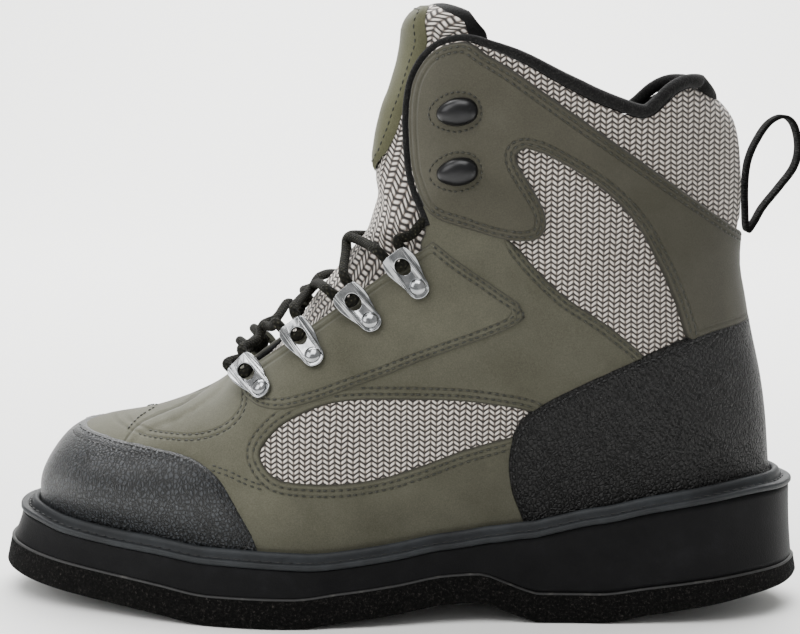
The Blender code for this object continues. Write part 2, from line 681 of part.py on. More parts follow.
def laid_on(name, thickness, finish, keep=None, without=()):
    """Panel laid on the upper: its sheet moved out by the gap, thickened and cut to its outline."""
    piece = add_object(name, upper_surface(GAP, trimmed=True), finish)
    wall(piece, thickness, outwards=True)
    if keep:
        cut(piece, keep, "INTERSECT")
    for cutter in without:
        cut(piece, cutter)
    return piece


def build_upper():
    """Hollow upper, open underneath, at the throat and at the collar, and the panels laid on it."""
    opening = side_cutter("opening_cutter", OPENING)
    above_quarter = side_cutter("above_quarter_cutter", ABOVE_QUARTER, gap=GAP)
    toe = side_cutter("toe_cap_cutter", TOE_CAP)
    past_toe = side_cutter("past_toe_cutter", TOE_CAP, gap=GAP)
    counter = side_cutter("counter_cutter", HEEL_COUNTER)
    past_counter = side_cutter("past_counter_cutter", HEEL_COUNTER, gap=GAP)
    band = side_cutter("band_cutter", ANKLE_BAND)
    window = side_cutter("window_cutter", WINDOW)
    nubuck = material("nubuck", "#6b6a5b", 0.85)
    grained = material("grained_leather", "#33363a", 0.6)
    upper = add_object("upper", upper_surface(), material("mesh_and_lining", "#b0a79c", 0.9))
    wall(upper, UPPER_WALL, outwards=False)
    cut(upper, opening)
    laid_on("toe_cap", CAP_THICKNESS, grained, toe)
    laid_on("heel_counter", CAP_THICKNESS, grained, counter)
    laid_on("vamp_and_quarter", VAMP_THICKNESS, nubuck, None,
            (above_quarter, past_toe, past_counter, window))
    laid_on("ankle_band", FACING_THICKNESS, nubuck, band, (past_counter,))
    for side, word in ((-1, "outer"), (1, "inner")):
        facing = side_cutter("facing_" + word + "_cutter", LACE_FACING, side)
        laid_on("lace_facing_" + word, FACING_THICKNESS, nubuck, facing)


class Skin:
    """The upper's outer surface, for placing what sits on it."""

    def __init__(self):
        sheet = upper_surface()
        self.tree = BVHTree.FromBMesh(sheet)
        sheet.free()

    def over(self, point, side):
        """Point and outward direction of the surface beside a place, seen from one side."""
        start = Vector((point.x, side * CUTTER_SPAN, point.z))
        found, normal, _, _ = self.tree.ray_cast(start, Vector((0.0, -side, 0.0)))
        return found, normal if normal.y * side > 0 else -normal

    def spot(self, share_along, share_up, side):
        """The same for a place given by its shares."""
        return self.over(Vector((along(share_along), 0.0, up(share_up))), side)

    def nearest(self, point):
        """Nearest point and direction of the surface."""
        found, normal, _, _ = self.tree.find_nearest(point)
        return found, normal


def ridge_point(place, across):
    """Point near the upper's ridge: across runs from -1 to 1 over the tongue's width."""
    reach = TONGUE_REACH * steady(column(TONGUE, "reach"), place_at(column(TONGUE, "place"), place))
    low, high = section_point(place, 0.0, 1), section_point(place, 1.0, 1)
    length = math.hypot(high.x - low.x, high.z - low.z)
    t = 1.0 - min(reach / length, 1.0) * across * across
    return section_point(place, t, -1 if across < 0 else 1)


def ridge_normal(place, across):
    """Outward direction of the upper's surface near its ridge."""
    ahead = ridge_point(min(place + NORMAL_STEP, LAST_PLACE), across)
    behind = ridge_point(place - NORMAL_STEP, across)
    over = ridge_point(place, across + NORMAL_STEP) - ridge_point(place, across - NORMAL_STEP)
    return over.cross(ahead - behind).normalized() * -1.0


def throat_depth(point):
    """How far a place lies inside the open throat and collar, seen from the side."""
    spot = Vector((point.x, point.z))
    line = [Vector((along(s.along), up(s.up))) for s in OPENING]
    nearest = CUTTER_SPAN
    inside = False
    for one, two in zip(line, line[1:] + line[:1]):
        edge = two - one
        share = min(max((spot - one).dot(edge) / edge.length_squared, 0.0), 1.0)
        nearest = min(nearest, (one + edge * share - spot).length)
        if (one.y > spot.y) != (two.y > spot.y):
            if spot.x < one.x + edge.x * (spot.y - one.y) / edge.y:
                inside = not inside
    return nearest if inside else -nearest


def tongue_point(skin, place, across):
    """Point of the tongue's outer surface."""
    found, _ = skin.nearest(ridge_point(place, across))
    share = min(max((throat_depth(found) - TONGUE_EDGE) / TONGUE_RAMP, 0.0), 1.0)
    under = UPPER_WALL + TONGUE_CLEAR
    out = (under + TONGUE_SWELL) * share * share * (3 - 2 * share) - under
    return found + ridge_normal(place, across) * out


def sheet_of_rows(rows):
    """Open sheet through rows of points, facing the way the rows and then the columns turn."""
    bm = bmesh.new()
    made = [[bm.verts.new(p) for p in row] for row in rows]
    for one, two in zip(made, made[1:]):
        for a, b, c, d in zip(one, one[1:], two[1:], two):
            bm.faces.new((a, d, c))
            bm.faces.new((a, c, b))
    bm.normal_update()
    return bm


def build_tongue(skin):
    """Padded tongue under the laces, and the oval patch sewn to its front."""
    sheet = sheet_of_rows([[tongue_point(skin, row.place, 2 * j / TONGUE_COLUMNS - 1)
                            for j in range(TONGUE_COLUMNS + 1)] for row in TONGUE])
    front = BVHTree.FromBMesh(sheet)
    tongue = add_object("tongue", sheet, material("tongue_mesh", "#b8aea3", 0.9))
    wall(tongue, TONGUE_THICKNESS, outwards=False)
    rows = []
    for row in PATCH:
        line = []
        for j in range(PATCH_COLUMNS + 1):
            across = row.half * (2 * j / PATCH_COLUMNS - 1)
            found, _, _, _ = front.find_nearest(tongue_point(skin, row.place, across))
            line.append(found + ridge_normal(row.place, across) * PATCH_LIFT)
        rows.append(line)
    patch = add_object("tongue_patch", sheet_of_rows(rows), material("patch_nubuck", "#85826a", 0.8))
    wall(patch, PATCH_THICKNESS, outwards=True)


def tube(name, points, radii, finish, roundness=2):
    """Round tube through the points, with filled ends."""
    curve = bpy.data.curves.new(name, "CURVE")
    curve.dimensions = "3D"
    curve.bevel_depth = 1.0
    curve.bevel_resolution = roundness
    curve.use_fill_caps = True
    line = curve.splines.new("POLY")
    line.points.add(len(points) - 1)
    for spot, point, radius in zip(line.points, points, radii):
        spot.co = (*point, 1.0)
        spot.radius = radius
    piece = bpy.data.objects.new(name, curve)
    bpy.context.scene.collection.objects.link(piece)
    curve.materials.append(finish)
    return piece


def build_binding(skin):
    """Padded binding along the throat's edges and the collar, in one run round the back."""
    halves = []
    for side in (-1, 1):
        run = []
        for i, spot in enumerate(BOUND_EDGE):
            ahead = BOUND_EDGE[min(i + 1, len(BOUND_EDGE) - 1)]
            behind = BOUND_EDGE[max(i - 1, 0)]
            edge_x = (ahead.along - behind.along) * FOOT_LENGTH
            edge_z = (ahead.up - behind.up) * UPPER_HEIGHT
            away = Vector((-edge_z, 0.0, edge_x)).normalized()
            back = min(max(spot.along - BINDING_TURN, 0.0) / BINDING_SWELL, 1.0)
            radius = BINDING_FRONT + (BINDING_BACK - BINDING_FRONT) * back
            probe = Vector((along(spot.along), 0.0, up(spot.up))) - away * BINDING_PROBE
            found, normal = skin.over(probe, side)
            middle = Vector((along(spot.along), found.y, up(spot.up)))
            inwards = normal.y * back * UPPER_WALL / 2
            run.append((middle + away * (radius + BINDING_SEAT) - Vector((0.0, inwards, 0.0)), radius))
        halves.append(run)
    back_x = max(p.x for p, r in halves[0]) + BINDING_BACK_DEPTH
    corner = halves[0][-1][0]
    turn = []
    for k in range(1, BINDING_BACK_STEPS):
        angle = math.pi * k / BINDING_BACK_STEPS
        turn.append((Vector((corner.x + (back_x - corner.x) * math.sin(angle),
                             corner.y * math.cos(angle), corner.z)), BINDING_BACK))
    run = halves[0] + turn + halves[1][::-1]
    tube("collar_binding", [p for p, r in run], [r for p, r in run],
         material("binding", "#1d1c1c", 0.9), roundness=1)


def frame_on(point, normal, towards):
    """Matrix whose X points along the surface towards a place and whose Z stands off it."""
    ahead = towards - point
    ahead = (ahead - normal * ahead.dot(normal)).normalized()
    across = normal.cross(ahead)
    turned = Matrix((ahead, across, normal)).transposed()
    return Matrix.Translation(point) @ turned.to_4x4()


def ring_shape():
    """Stamped lace ring: a foot under the rivet and a raised frame with a round hole."""
    half = RING_WIDTH / 2
    right = [(row.ahead * RING_LENGTH, row.beside * half) for row in RING_EDGE]
    outer = right + [(x, -y) for x, y in right[-2:0:-1]]
    count = len(outer)
    inner = []
    for i in range(count):
        angle = 2 * math.pi * i / count
        inner.append((HOLE_AHEAD + RING_HOLE * math.cos(angle), RING_HOLE * math.sin(angle)))
    bm = bmesh.new()
    bend = HOLE_AHEAD - RING_HOLE

    def raised(x, y, z):
        share = min(max((x - bend) / (right[0][0] - bend), 0.0), 1.0)
        return (x, y, z + RING_RISE * share * share * (3 - 2 * share))

    loops = [[bm.verts.new(raised(x, y, z)) for x, y in line]
             for line, z in ((outer, 0.0), (outer, RING_THICKNESS), (inner, RING_THICKNESS), (inner, 0.0))]
    for one, two in zip(loops, loops[1:] + loops[:1]):
        for i in range(count):
            j = (i + 1) % count
            bm.faces.new((one[i], one[j], two[j], two[i]))
    bmesh.ops.triangulate(bm, faces=bm.faces)
    bmesh.ops.recalc_face_normals(bm, faces=bm.faces)
    return bm


def dome(outline, height):
    """Low dome over an outline."""
    middle = sum(x for x, y in outline) / len(outline)
    return solid_of_rings([[(middle + (x - middle) * row.wide, y * row.wide, height * row.rise)
                            for x, y in outline] for row in DOME])


def hook_outline():
    """Teardrop of a speed hook, its nose towards the throat."""
    line = []
    for i in range(HOOK_SIDES):
        angle = 2 * math.pi * i / HOOK_SIDES
        narrow = 1.0 - HOOK_NARROWING * max(math.cos(angle), 0.0) ** HOOK_TAPER
        line.append((HOOK_LENGTH / 2 * math.cos(angle), HOOK_WIDTH / 2 * math.sin(angle) * narrow))
    return line


def build_hardware(skin):
    """Four lace rings with their rivets and two hooks on each side."""
    chrome = material("chrome_plate", "#d8d8d8", 0.2, 1.0)
    moulded = material("moulded_hook", "#1a1a1d", 0.3)
    circle = [(RIVET_RADIUS * math.cos(2 * math.pi * i / RIVET_SIDES),
               RIVET_RADIUS * math.sin(2 * math.pi * i / RIVET_SIDES)) for i in range(RIVET_SIDES)]
    lift = GAP + FACING_THICKNESS + HARDWARE_SEAT
    for side, word in ((-1, "outer"), (1, "inner")):
        for number, row in enumerate(RINGS, 1):
            point, normal = skin.spot(row.along, row.up, side)
            towards, _ = skin.spot(row.hole_along, row.hole_up, side)
            seat = frame_on(point, normal, towards)
            ring = ring_shape()
            ring.transform(seat @ Matrix.Translation((0.0, 0.0, lift)))
            add_object(f"lace_ring_{word}_{number}", ring, chrome)
            rivet = dome(circle, RIVET_HEIGHT)
            rivet.transform(seat @ Matrix.Translation((0.0, 0.0, lift + RING_THICKNESS + GAP)))
            add_object(f"rivet_{word}_{number}", rivet, chrome)
        for number, row in enumerate(HOOKS, 1):
            point, normal = skin.spot(row.along, row.up, side)
            towards, _ = skin.spot(row.hole_along, row.hole_up, side)
            hook = dome(hook_outline(), HOOK_HEIGHT)
            hook.transform(frame_on(point, normal, towards) @ Matrix.Translation((0.0, 0.0, lift)))
            add_object(f"hook_{word}_{number}", hook, moulded)


def lace_run(skin, low, high, side, first, last):
    """Lace from near one ring's hole over the tongue to near the hole of a ring across."""
    start, _ = skin.spot(RINGS[low].hole_along, RINGS[low].hole_up, side)
    end, _ = skin.spot(RINGS[high].hole_along, RINGS[high].hole_up, -side)
    ahead = (RINGS[-1].hole_along - RINGS[0].hole_along) * FOOT_LENGTH
    rising = (RINGS[-1].hole_up - RINGS[0].hole_up) * UPPER_HEIGHT
    outwards = Vector((-rising, 0.0, ahead)).normalized()
    points = []
    for i in range(LACE_POINTS):
        share = first + (last - first) * i / (LACE_POINTS - 1)
        chord = start + (end - start) * share
        found, normal, _, _ = skin.tree.ray_cast(chord + outwards * CUTTER_SPAN, -outwards)
        points.append(found + (normal if normal.dot(outwards) > 0 else -normal) * LACE_OVER)
    return points


def build_laces(skin):
    """A bar at the lowest rings, three crossings, and the two ends that tuck behind the facings."""
    cord = material("lace_cord", "#33332c", 0.8)
    bar = lace_run(skin, 0, 0, -1, 1 - LACE_LAST, LACE_LAST)
    tube("lace_bar", bar, [LACE_RADIUS] * len(bar), cord)
    for number in range(len(RINGS) - 1):
        halves = []
        for side, word in ((-1, "a"), (1, "b")):
            run = lace_run(skin, number, number + 1, side, LACE_FIRST, LACE_LAST)
            halves.append(tube(f"lace_crossing_{number + 1}_{word}", run, [LACE_RADIUS] * len(run), cord))
        join_tubes(f"lace_crossing_{number + 1}", halves, cord)
    for side, word in ((-1, "outer"), (1, "inner")):
        run = []
        for row in LACE_END:
            found, normal = skin.spot(row.along, row.up, side)
            run.append(found + normal * row.out * LACE_OVER)
        tube("lace_end_" + word, run, [LACE_RADIUS] * len(run), cord)


def join_tubes(name, tubes, finish):
    """One solid from two tubes that cross."""
    meshes = []
    for piece in tubes:
        evaluated = piece.evaluated_get(bpy.context.evaluated_depsgraph_get())
        meshes.append(bpy.data.meshes.new_from_object(evaluated))
        bpy.data.objects.remove(piece, do_unlink=True)
    pieces = []
    for mesh, word in zip(meshes, ("", "_over_cutter")):
        bm = bmesh.new()
        bm.from_mesh(mesh)
        bmesh.ops.remove_doubles(bm, verts=bm.verts, dist=THIN)
        pieces.append(add_object(name + word, bm, finish))
    pieces[1].hide_render = True
    pieces[1].display_type = "WIRE"
    cut(pieces[0], pieces[1], "UNION")


def build_loop():
    """Pull loop of flat webbing, sewn in at the top of the band at the back."""
    root = Vector((along(LOOP_PATH_ROOT.along), 0.0, up(LOOP_PATH_ROOT.up)))
    line = catmull([(root.x + spot.along * LOOP_REACH, root.z + spot.up * LOOP_HEIGHT)
                    for spot in LOOP_PATH], 2, closed=True)
    outer = grown(line, LOOP_THICKNESS / 2)
    inner = grown(line, -LOOP_THICKNESS / 2)
    half = LOOP_WIDTH / 2
    rings = [[(x, y, z) for x, z in loop] for loop, y in
             ((outer, -half), (outer, half), (inner, half), (inner, -half))]
    add_object("pull_loop", solid_of_rings(rings, closed_ring=True), material("webbing", "#202020", 0.9))


def stand_on_floor():
    """Moves the boot so that its box stands on the floor with its middle over the origin."""
    bpy.context.view_layer.update()
    shown = [o for o in bpy.data.objects if not o.hide_render]
    corners = [o.matrix_world @ Vector(c) for o in shown for c in o.bound_box]
    low = Vector([min(c[i] for c in corners) for i in range(3)])
    high = Vector([max(c[i] for c in corners) for i in range(3)])
    shift = Vector(((low.x + high.x) / 2, (low.y + high.y) / 2, low.z))
    for piece in bpy.data.objects:
        piece.location = piece.location - shift


for old in list(bpy.data.objects):
    bpy.data.objects.remove(old, do_unlink=True)
CUTTER_FINISH = material("cutter", "#ff00ff", 0.5)
build_sole()
build_upper()
outer_skin = Skin()
build_tongue(outer_skin)
build_binding(outer_skin)
build_hardware(outer_skin)
build_laces(outer_skin)
build_loop()
stand_on_floor()
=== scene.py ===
import math
from collections import namedtuple

import bmesh
import bpy
import numpy as np
from mathutils import Matrix, Vector
from mathutils.bvhtree import BVHTree


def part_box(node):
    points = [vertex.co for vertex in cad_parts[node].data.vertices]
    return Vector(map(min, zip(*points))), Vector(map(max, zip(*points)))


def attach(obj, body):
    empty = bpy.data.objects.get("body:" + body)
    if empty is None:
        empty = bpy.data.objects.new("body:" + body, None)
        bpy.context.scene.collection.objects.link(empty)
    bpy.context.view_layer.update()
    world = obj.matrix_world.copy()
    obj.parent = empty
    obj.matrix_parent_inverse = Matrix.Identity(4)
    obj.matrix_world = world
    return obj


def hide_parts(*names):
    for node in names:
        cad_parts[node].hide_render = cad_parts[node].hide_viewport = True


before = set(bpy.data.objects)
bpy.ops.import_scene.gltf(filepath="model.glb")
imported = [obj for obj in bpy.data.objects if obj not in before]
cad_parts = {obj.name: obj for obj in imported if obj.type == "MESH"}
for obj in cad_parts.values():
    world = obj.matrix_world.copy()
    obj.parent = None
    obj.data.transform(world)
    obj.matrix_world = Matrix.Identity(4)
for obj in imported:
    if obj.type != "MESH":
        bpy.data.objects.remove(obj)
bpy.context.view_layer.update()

# Camera
# The boot is seen square from its outer side, from a little above the collar, with a long lens.
CAMERA_LENS = 83.8
CAMERA_PLACE = (0.015, -0.7595, 0.215)
CAMERA_TURN = 1.15
CAMERA_DOWN = 7.45
CAMERA_ROLL = 0.5

camera_data = bpy.data.cameras.new("camera")
camera_data.sensor_width = 36.0
camera_data.lens = CAMERA_LENS
camera = bpy.data.objects.new("camera", camera_data)
bpy.context.scene.collection.objects.link(camera)
camera.matrix_world = (Matrix.Translation(CAMERA_PLACE)
                       @ Matrix.Rotation(math.radians(CAMERA_TURN), 4, "Z")
                       @ Matrix.Rotation(math.radians(90 - CAMERA_DOWN), 4, "X")
                       @ Matrix.Rotation(math.radians(CAMERA_ROLL), 4, "Z"))
bpy.context.scene.camera = camera

# Felt outsole
# A thick slab of pressed dark fibre, glued under the midsole. Its cut sides show the loose fibre ends,
# and the edge that meets the floor is worn round. It is rockered under the toe and the heel.
SOLE_LENGTH = 0.330
SOLE_WIDTH = 0.119
FLANGE_LENGTH = 0.321
FLANGE_WIDTH = 0.114
GAP = 0.0003
FELT_THICKNESS = 0.0115
MIDSOLE_FORE = 0.0108
HEEL_LIFT = 0.0200
TOE_SPRING = 0.0120
FLANGE_SHIFT = 0.0015
FELT_WEAR = 0.0014
TURNED_IN = 0.0030
MERGE_DISTANCE = 0.00001

PlanRow = namedtuple("PlanRow", "along outer inner")
SOLE_PLAN = [
    PlanRow(0.000, 0.076, 0.076), PlanRow(0.009, -0.067, 0.214), PlanRow(0.036, -0.172, 0.319),
    PlanRow(0.085, -0.277, 0.399), PlanRow(0.152, -0.361, 0.454), PlanRow(0.242, -0.450, 0.487),
    PlanRow(0.348, -0.503, 0.492), PlanRow(0.455, -0.475, 0.424), PlanRow(0.576, -0.403, 0.349),
    PlanRow(0.691, -0.380, 0.336), PlanRow(0.803, -0.378, 0.361), PlanRow(0.885, -0.351, 0.337),
    PlanRow(0.945, -0.268, 0.260), PlanRow(0.982, -0.157, 0.152), PlanRow(1.000, 0.000, 0.000),
]
SideRow = namedtuple("SideRow", "along spring felt lift")
SOLE_SIDE = [
    SideRow(0.000, 0.960, 0.960, 0.060), SideRow(0.045, 0.730, 1.000, 0.075),
    SideRow(0.091, 0.590, 1.000, 0.005), SideRow(0.152, 0.420, 1.000, 0.000),
    SideRow(0.212, 0.240, 1.000, 0.030), SideRow(0.280, 0.000, 1.000, 0.060),
    SideRow(0.380, 0.000, 1.000, 0.015), SideRow(0.430, 0.160, 1.000, -0.060),
    SideRow(0.500, 0.380, 1.000, -0.045), SideRow(0.564, 0.640, 1.000, -0.035),
    SideRow(0.600, 0.670, 1.000, 0.035), SideRow(0.625, 0.450, 1.000, 0.215),
    SideRow(0.648, 0.190, 1.000, 0.430), SideRow(0.673, 0.000, 1.000, 0.605),
    SideRow(0.742, 0.000, 1.000, 0.855), SideRow(0.800, 0.270, 0.940, 0.945),
    SideRow(0.864, 0.530, 0.890, 1.000), SideRow(0.930, 0.800, 0.780, 1.040),
    SideRow(1.000, 1.000, 0.620, 0.970),
]


def column(rows, name):
    """One column of a table."""
    return [getattr(row, name) for row in rows]


def steady(values, place):
    """Value between the rows of a table, on a curve that never swings past the rows beside it."""
    last = len(values) - 1
    i = min(max(int(place), 0), last - 1)
    t = place - i

    def slope(k):
        if k <= 0 or k >= last:
            return 0.0
        before, after = values[k] - values[k - 1], values[k + 1] - values[k]
        return 2 * before * after / (before + after) if before * after > 0 else 0.0

    first = slope(i) if i > 0 else values[1] - values[0]
    second = slope(i + 1) if i + 1 < last else values[last] - values[last - 1]
    t2, t3 = t * t, t * t * t
    return (values[i] * (2 * t3 - 3 * t2 + 1) + first * (t3 - 2 * t2 + t)
            + values[i + 1] * (3 * t2 - 2 * t3) + second * (t3 - t2))


def eased(share):
    """Share from 0 to 1 that starts and ends slowly."""
    return share * share * (3 - 2 * share)


def place_at(values, wanted):
    """Place between the rows where a rising column has the wanted value."""
    if wanted <= values[0]:
        return 0.0
    for i in range(len(values) - 1):
        if wanted <= values[i + 1]:
            return i + (wanted - values[i]) / (values[i + 1] - values[i])
    return len(values) - 1.0


def flowing(points, steps, closed=False):
    """Smooth line through the points."""
    count = len(points)
    line = []
    for i in range(count if closed else count - 1):
        if closed:
            p = [points[(i + k - 1) % count] for k in range(4)]
        else:
            p = [points[min(max(i + k - 1, 0), count - 1)] for k in range(4)]
        for step in range(steps):
            t = step / steps
            line.append(tuple(0.5 * (2 * b + (c - a) * t + (2 * a - 5 * b + 4 * c - d) * t * t
                                     + (3 * b - a - 3 * c + d) * t ** 3) for a, b, c, d in zip(*p)))
    if not closed:
        line.append(tuple(points[-1]))
    return line


def grown(outline, amount):
    """Closed outline moved outwards along its own normals."""
    moved = []
    for i, (x, y) in enumerate(outline):
        run = (Vector(outline[(i + 1) % len(outline)]) - Vector(outline[i - 1])).normalized()
        moved.append((x + run.y * amount, y - run.x * amount))
    return moved


def sole_outline(length, width, shift=0.0):
    """Plan outline from the toe down the outer side to the heel and back up the inner side."""
    middle = 0.5
    outer = [((r.along - middle) * length + shift, r.outer * width) for r in SOLE_PLAN]
    inner = [((r.along - middle) * length + shift, r.inner * width) for r in SOLE_PLAN[-2:0:-1]]
    return flowing(outer + inner, 10, closed=True)


def side_value(name, x):
    """A column of the sole's side table at a place along the boot."""
    place = place_at(column(SOLE_SIDE, "along"), x / SOLE_LENGTH + 0.5)
    return steady(column(SOLE_SIDE, name), place)


def felt_bottom(x):
    """Height of the felt's underside, which rises at the toe, the arch and the heel."""
    return TOE_SPRING * side_value("spring", x)


def felt_top(x):
    """Height of the felt's top, where the midsole is glued on."""
    return felt_bottom(x) + FELT_THICKNESS * side_value("felt", x)


def midsole_top(x):
    """Height of the midsole's top, which lies on the felt with a gap for the glue."""
    return felt_top(x) + GAP + MIDSOLE_FORE + HEEL_LIFT * side_value("lift", x)


felt_line = sole_outline(SOLE_LENGTH, SOLE_WIDTH)
flange_line = sole_outline(FLANGE_LENGTH, FLANGE_WIDTH, FLANGE_SHIFT)
lean_line = [((a[0] * 2 + b[0]) / 3, (a[1] * 2 + b[1]) / 3) for a, b in zip(felt_line, flange_line)]
TO_FRAME = Vector((0.0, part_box("felt_outsole")[0].y - min(y for x, y in felt_line), 0.0))


def colour(code):
    """Linear colour of an sRGB hex value."""
    channels = [int(code[i:i + 2], 16) / 255 for i in (1, 3, 5)]
    return (*[c / 12.92 if c <= 0.04045 else ((c + 0.055) / 1.055) ** 2.4 for c in channels], 1.0)


def add_node(tree, kind, inputs=None, **settings):
    """Adds a node with its settings, and gives its inputs their values or links."""
    made = tree.nodes.new(kind)
    for key, value in settings.items():
        setattr(made, key, value)
    for key, value in (inputs or {}).items():
        if isinstance(value, bpy.types.NodeSocket):
            tree.links.new(value, made.inputs[key])
        else:
            made.inputs[key].default_value = value
    return made


def new_finish(name, **values):
    """Material with its shader, whose even values are set on its own sockets."""
    made = bpy.data.materials.new(name)
    made.use_nodes = True
    shader = made.node_tree.nodes["Principled BSDF"]
    for key, value in values.items():
        shader.inputs[key.replace("_", " ")].default_value = value
    return made, made.node_tree, shader


def ramp(tree, fac, stops):
    """Colour ramp through (place, hex colour) stops."""
    made = add_node(tree, "ShaderNodeValToRGB", {"Fac": fac})
    band = made.color_ramp
    while len(band.elements) < len(stops):
        band.elements.new(0.5)
    for element, (place, code) in zip(band.elements, stops):
        element.position = place
        element.color = colour(code)
    return made.outputs["Color"]


def bump_of(tree, shader, height, distance, strength=1.0):
    """Gives a shader its relief from a height, with the distance in metres."""
    made = add_node(tree, "ShaderNodeBump", {"Height": height, "Distance": distance, "Strength": strength})
    tree.links.new(made.outputs["Normal"], shader.inputs["Normal"])
    return made


def math_node(tree, operation, a, b=0.0, c=0.0, clamp=False):
    """Value worked out from up to three others."""
    made = add_node(tree, "ShaderNodeMath", {0: a, 1: b, 2: c}, operation=operation, use_clamp=clamp)
    return made.outputs[0]


def place_on(tree):
    """Place on the piece in metres, which noises and weaves are laid out by."""
    return add_node(tree, "ShaderNodeTexCoord").outputs["Object"]


def noise_of(tree, where, scale, detail, roughness=0.5):
    """Cloudy noise from 0 to 1. Its scale says how many lumps there are in a metre."""
    return add_node(tree, "ShaderNodeTexNoise", {"Vector": where, "Scale": scale, "Detail": detail,
                                                 "Roughness": roughness}).outputs["Fac"]


def paint(tree, shader, fac, stops):
    """Gives a shader its colour from a ramp through (place, hex colour) stops."""
    tree.links.new(ramp(tree, fac, stops), shader.inputs["Base Color"])


def mapped(columns, rows, at):
    """Grid whose points stand where at(u, v) says, u and v from 0 to 1, merged where they meet."""
    bm = bmesh.new()
    bmesh.ops.create_grid(bm, x_segments=columns, y_segments=rows, size=0.5)
    unrolled = bm.loops.layers.uv.new("unrolled")
    for face in bm.faces:
        for loop in face.loops:
            loop[unrolled].uv = (loop.vert.co.x + 0.5, loop.vert.co.y + 0.5)
    for v in bm.verts:
        v.co = at(v.co.x + 0.5, v.co.y + 0.5)
    bmesh.ops.remove_doubles(bm, verts=bm.verts, dist=MERGE_DISTANCE)
    bmesh.ops.recalc_face_normals(bm, faces=bm.faces)
    return bm


def make_piece(name, bm, finishes, replaces=(), smooth=True):
    """Object of a mesh, put into the frame, with its finishes and the solids it stands for."""
    bmesh.ops.translate(bm, verts=bm.verts, vec=TO_FRAME)
    mesh = bpy.data.meshes.new(name)
    bm.to_mesh(mesh)
    bm.free()
    mesh.polygons.foreach_set("use_smooth", [smooth] * len(mesh.polygons))
    piece = bpy.data.objects.new(name, mesh)
    bpy.context.scene.collection.objects.link(piece)
    for finish in finishes:
        mesh.materials.append(finish)
    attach(piece, "root")
    if replaces:
        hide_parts(*replaces)
    return piece


# Pressed felt: matt black fibre, with paler fibre ends and pits on the cut sides
felt_finish, tree, shader = new_finish("pressed_felt", Roughness=1.0, Specular_IOR_Level=0.1)
where = place_on(tree)
fibre = noise_of(tree, where, 900.0, 6.0, 0.8)
clump = add_node(tree, "ShaderNodeTexVoronoi", {"Vector": where, "Scale": 520.0, "Randomness": 1.0})
mixed = math_node(tree, "MULTIPLY_ADD", clump.outputs["Distance"], 0.5, fibre)
paint(tree, shader, fibre, [(0.40, "#060606"), (0.52, "#0f0f0e"), (0.60, "#211f1e"), (0.70, "#57524e")])
bump_of(tree, shader, mixed, 0.0018)


def ring_profile(lines):
    """Closed solid round the sole: each line is an outline with the height of its points."""
    count = len(lines[0][0])
    last = len(lines) - 1

    def at(u, v):
        outline, height, extra = lines[round(v * last)]
        x, y = outline[round(u * count) % count]
        return Vector((x, y, height(x) + extra))

    return mapped(count, last, at)


def filled(bm):
    """Fills the open ends of a ring with faces."""
    bmesh.ops.holes_fill(bm, edges=[e for e in bm.edges if e.is_boundary])
    bmesh.ops.triangulate(bm, faces=[f for f in bm.faces if len(f.verts) > 4])
    bmesh.ops.recalc_face_normals(bm, faces=bm.faces)
    return bm


def between(one, two, share):
    """Outline part of the way from one outline to another."""
    return [(a[0] + (b[0] - a[0]) * share, a[1] + (b[1] - a[1]) * share) for a, b in zip(one, two)]


felt_steps = [(-FELT_WEAR * 1.5, 0.0), (-FELT_WEAR, 0.00008), (-FELT_WEAR * 0.3, FELT_WEAR * 0.35),
              (0.0, FELT_WEAR)]
felt_rings = [(grown(felt_line, out), felt_bottom, rise) for out, rise in felt_steps]
for k in range(1, 6):
    felt_rings.append((between(felt_line, lean_line, k / 5),
                       lambda x, k=k: felt_bottom(x) + FELT_WEAR
                       + (felt_top(x) - felt_bottom(x) - FELT_WEAR) * k / 5, 0.0))
felt_rings.append((grown(lean_line, -TURNED_IN), felt_top, 0.0))
make_piece("felt_sole_dressed", filled(ring_profile(felt_rings)), [felt_finish], ["felt_outsole"])

# Midsole
# Moulded black rubber between felt and welt, thin under the toes and thick under the heel. Its sides
# are smooth with faint mould lines, and a pale line of glue shows where the felt is stuck to it.
MIDSOLE_RECESS = 0.0010
MIDSOLE_HOLLOW = 0.0004
MIDSOLE_STEPS = 12
# Section of the bead of glue: outwards from the felt's top edge, and up
GLUE_STEPS = [(-0.0012, -0.0004), (-0.0002, -0.0003), (0.0001, 0.0001), (-0.0004, 0.0006),
              (-0.0012, 0.0007)]
# Moulded rubber: dull black, with a trace of dust in broad clouds
rubber_finish, tree, shader = new_finish("moulded_rubber", Roughness=0.55, Specular_IOR_Level=0.08)
where = place_on(tree)
dust = noise_of(tree, where, 60.0, 6.0, 0.7)
grain = noise_of(tree, where, 1400.0, 3.0)
paint(tree, shader, dust, [(0.3, "#0c0c0d"), (0.55, "#111112"), (0.75, "#18181a")])
bump_of(tree, shader, grain, 0.00012)
recessed, upper_rim = grown(lean_line, -MIDSOLE_RECESS), grown(flange_line, -MIDSOLE_RECESS)
midsole_rings = [(grown(recessed, -TURNED_IN), felt_top, GAP)]
for k in range(MIDSOLE_STEPS + 1):
    share = k / MIDSOLE_STEPS
    hollow = -MIDSOLE_HOLLOW * math.sin(math.pi * share)
    midsole_rings.append((grown(between(recessed, upper_rim, share), hollow),
                          lambda x, s=share: felt_top(x) + GAP + (midsole_top(x) - felt_top(x) - GAP) * s,
                          0.0))
midsole_rings.append((grown(upper_rim, -TURNED_IN), midsole_top, 0.0))
make_piece("midsole_dressed", filled(ring_profile(midsole_rings)), [rubber_finish],
           ["midsole"])

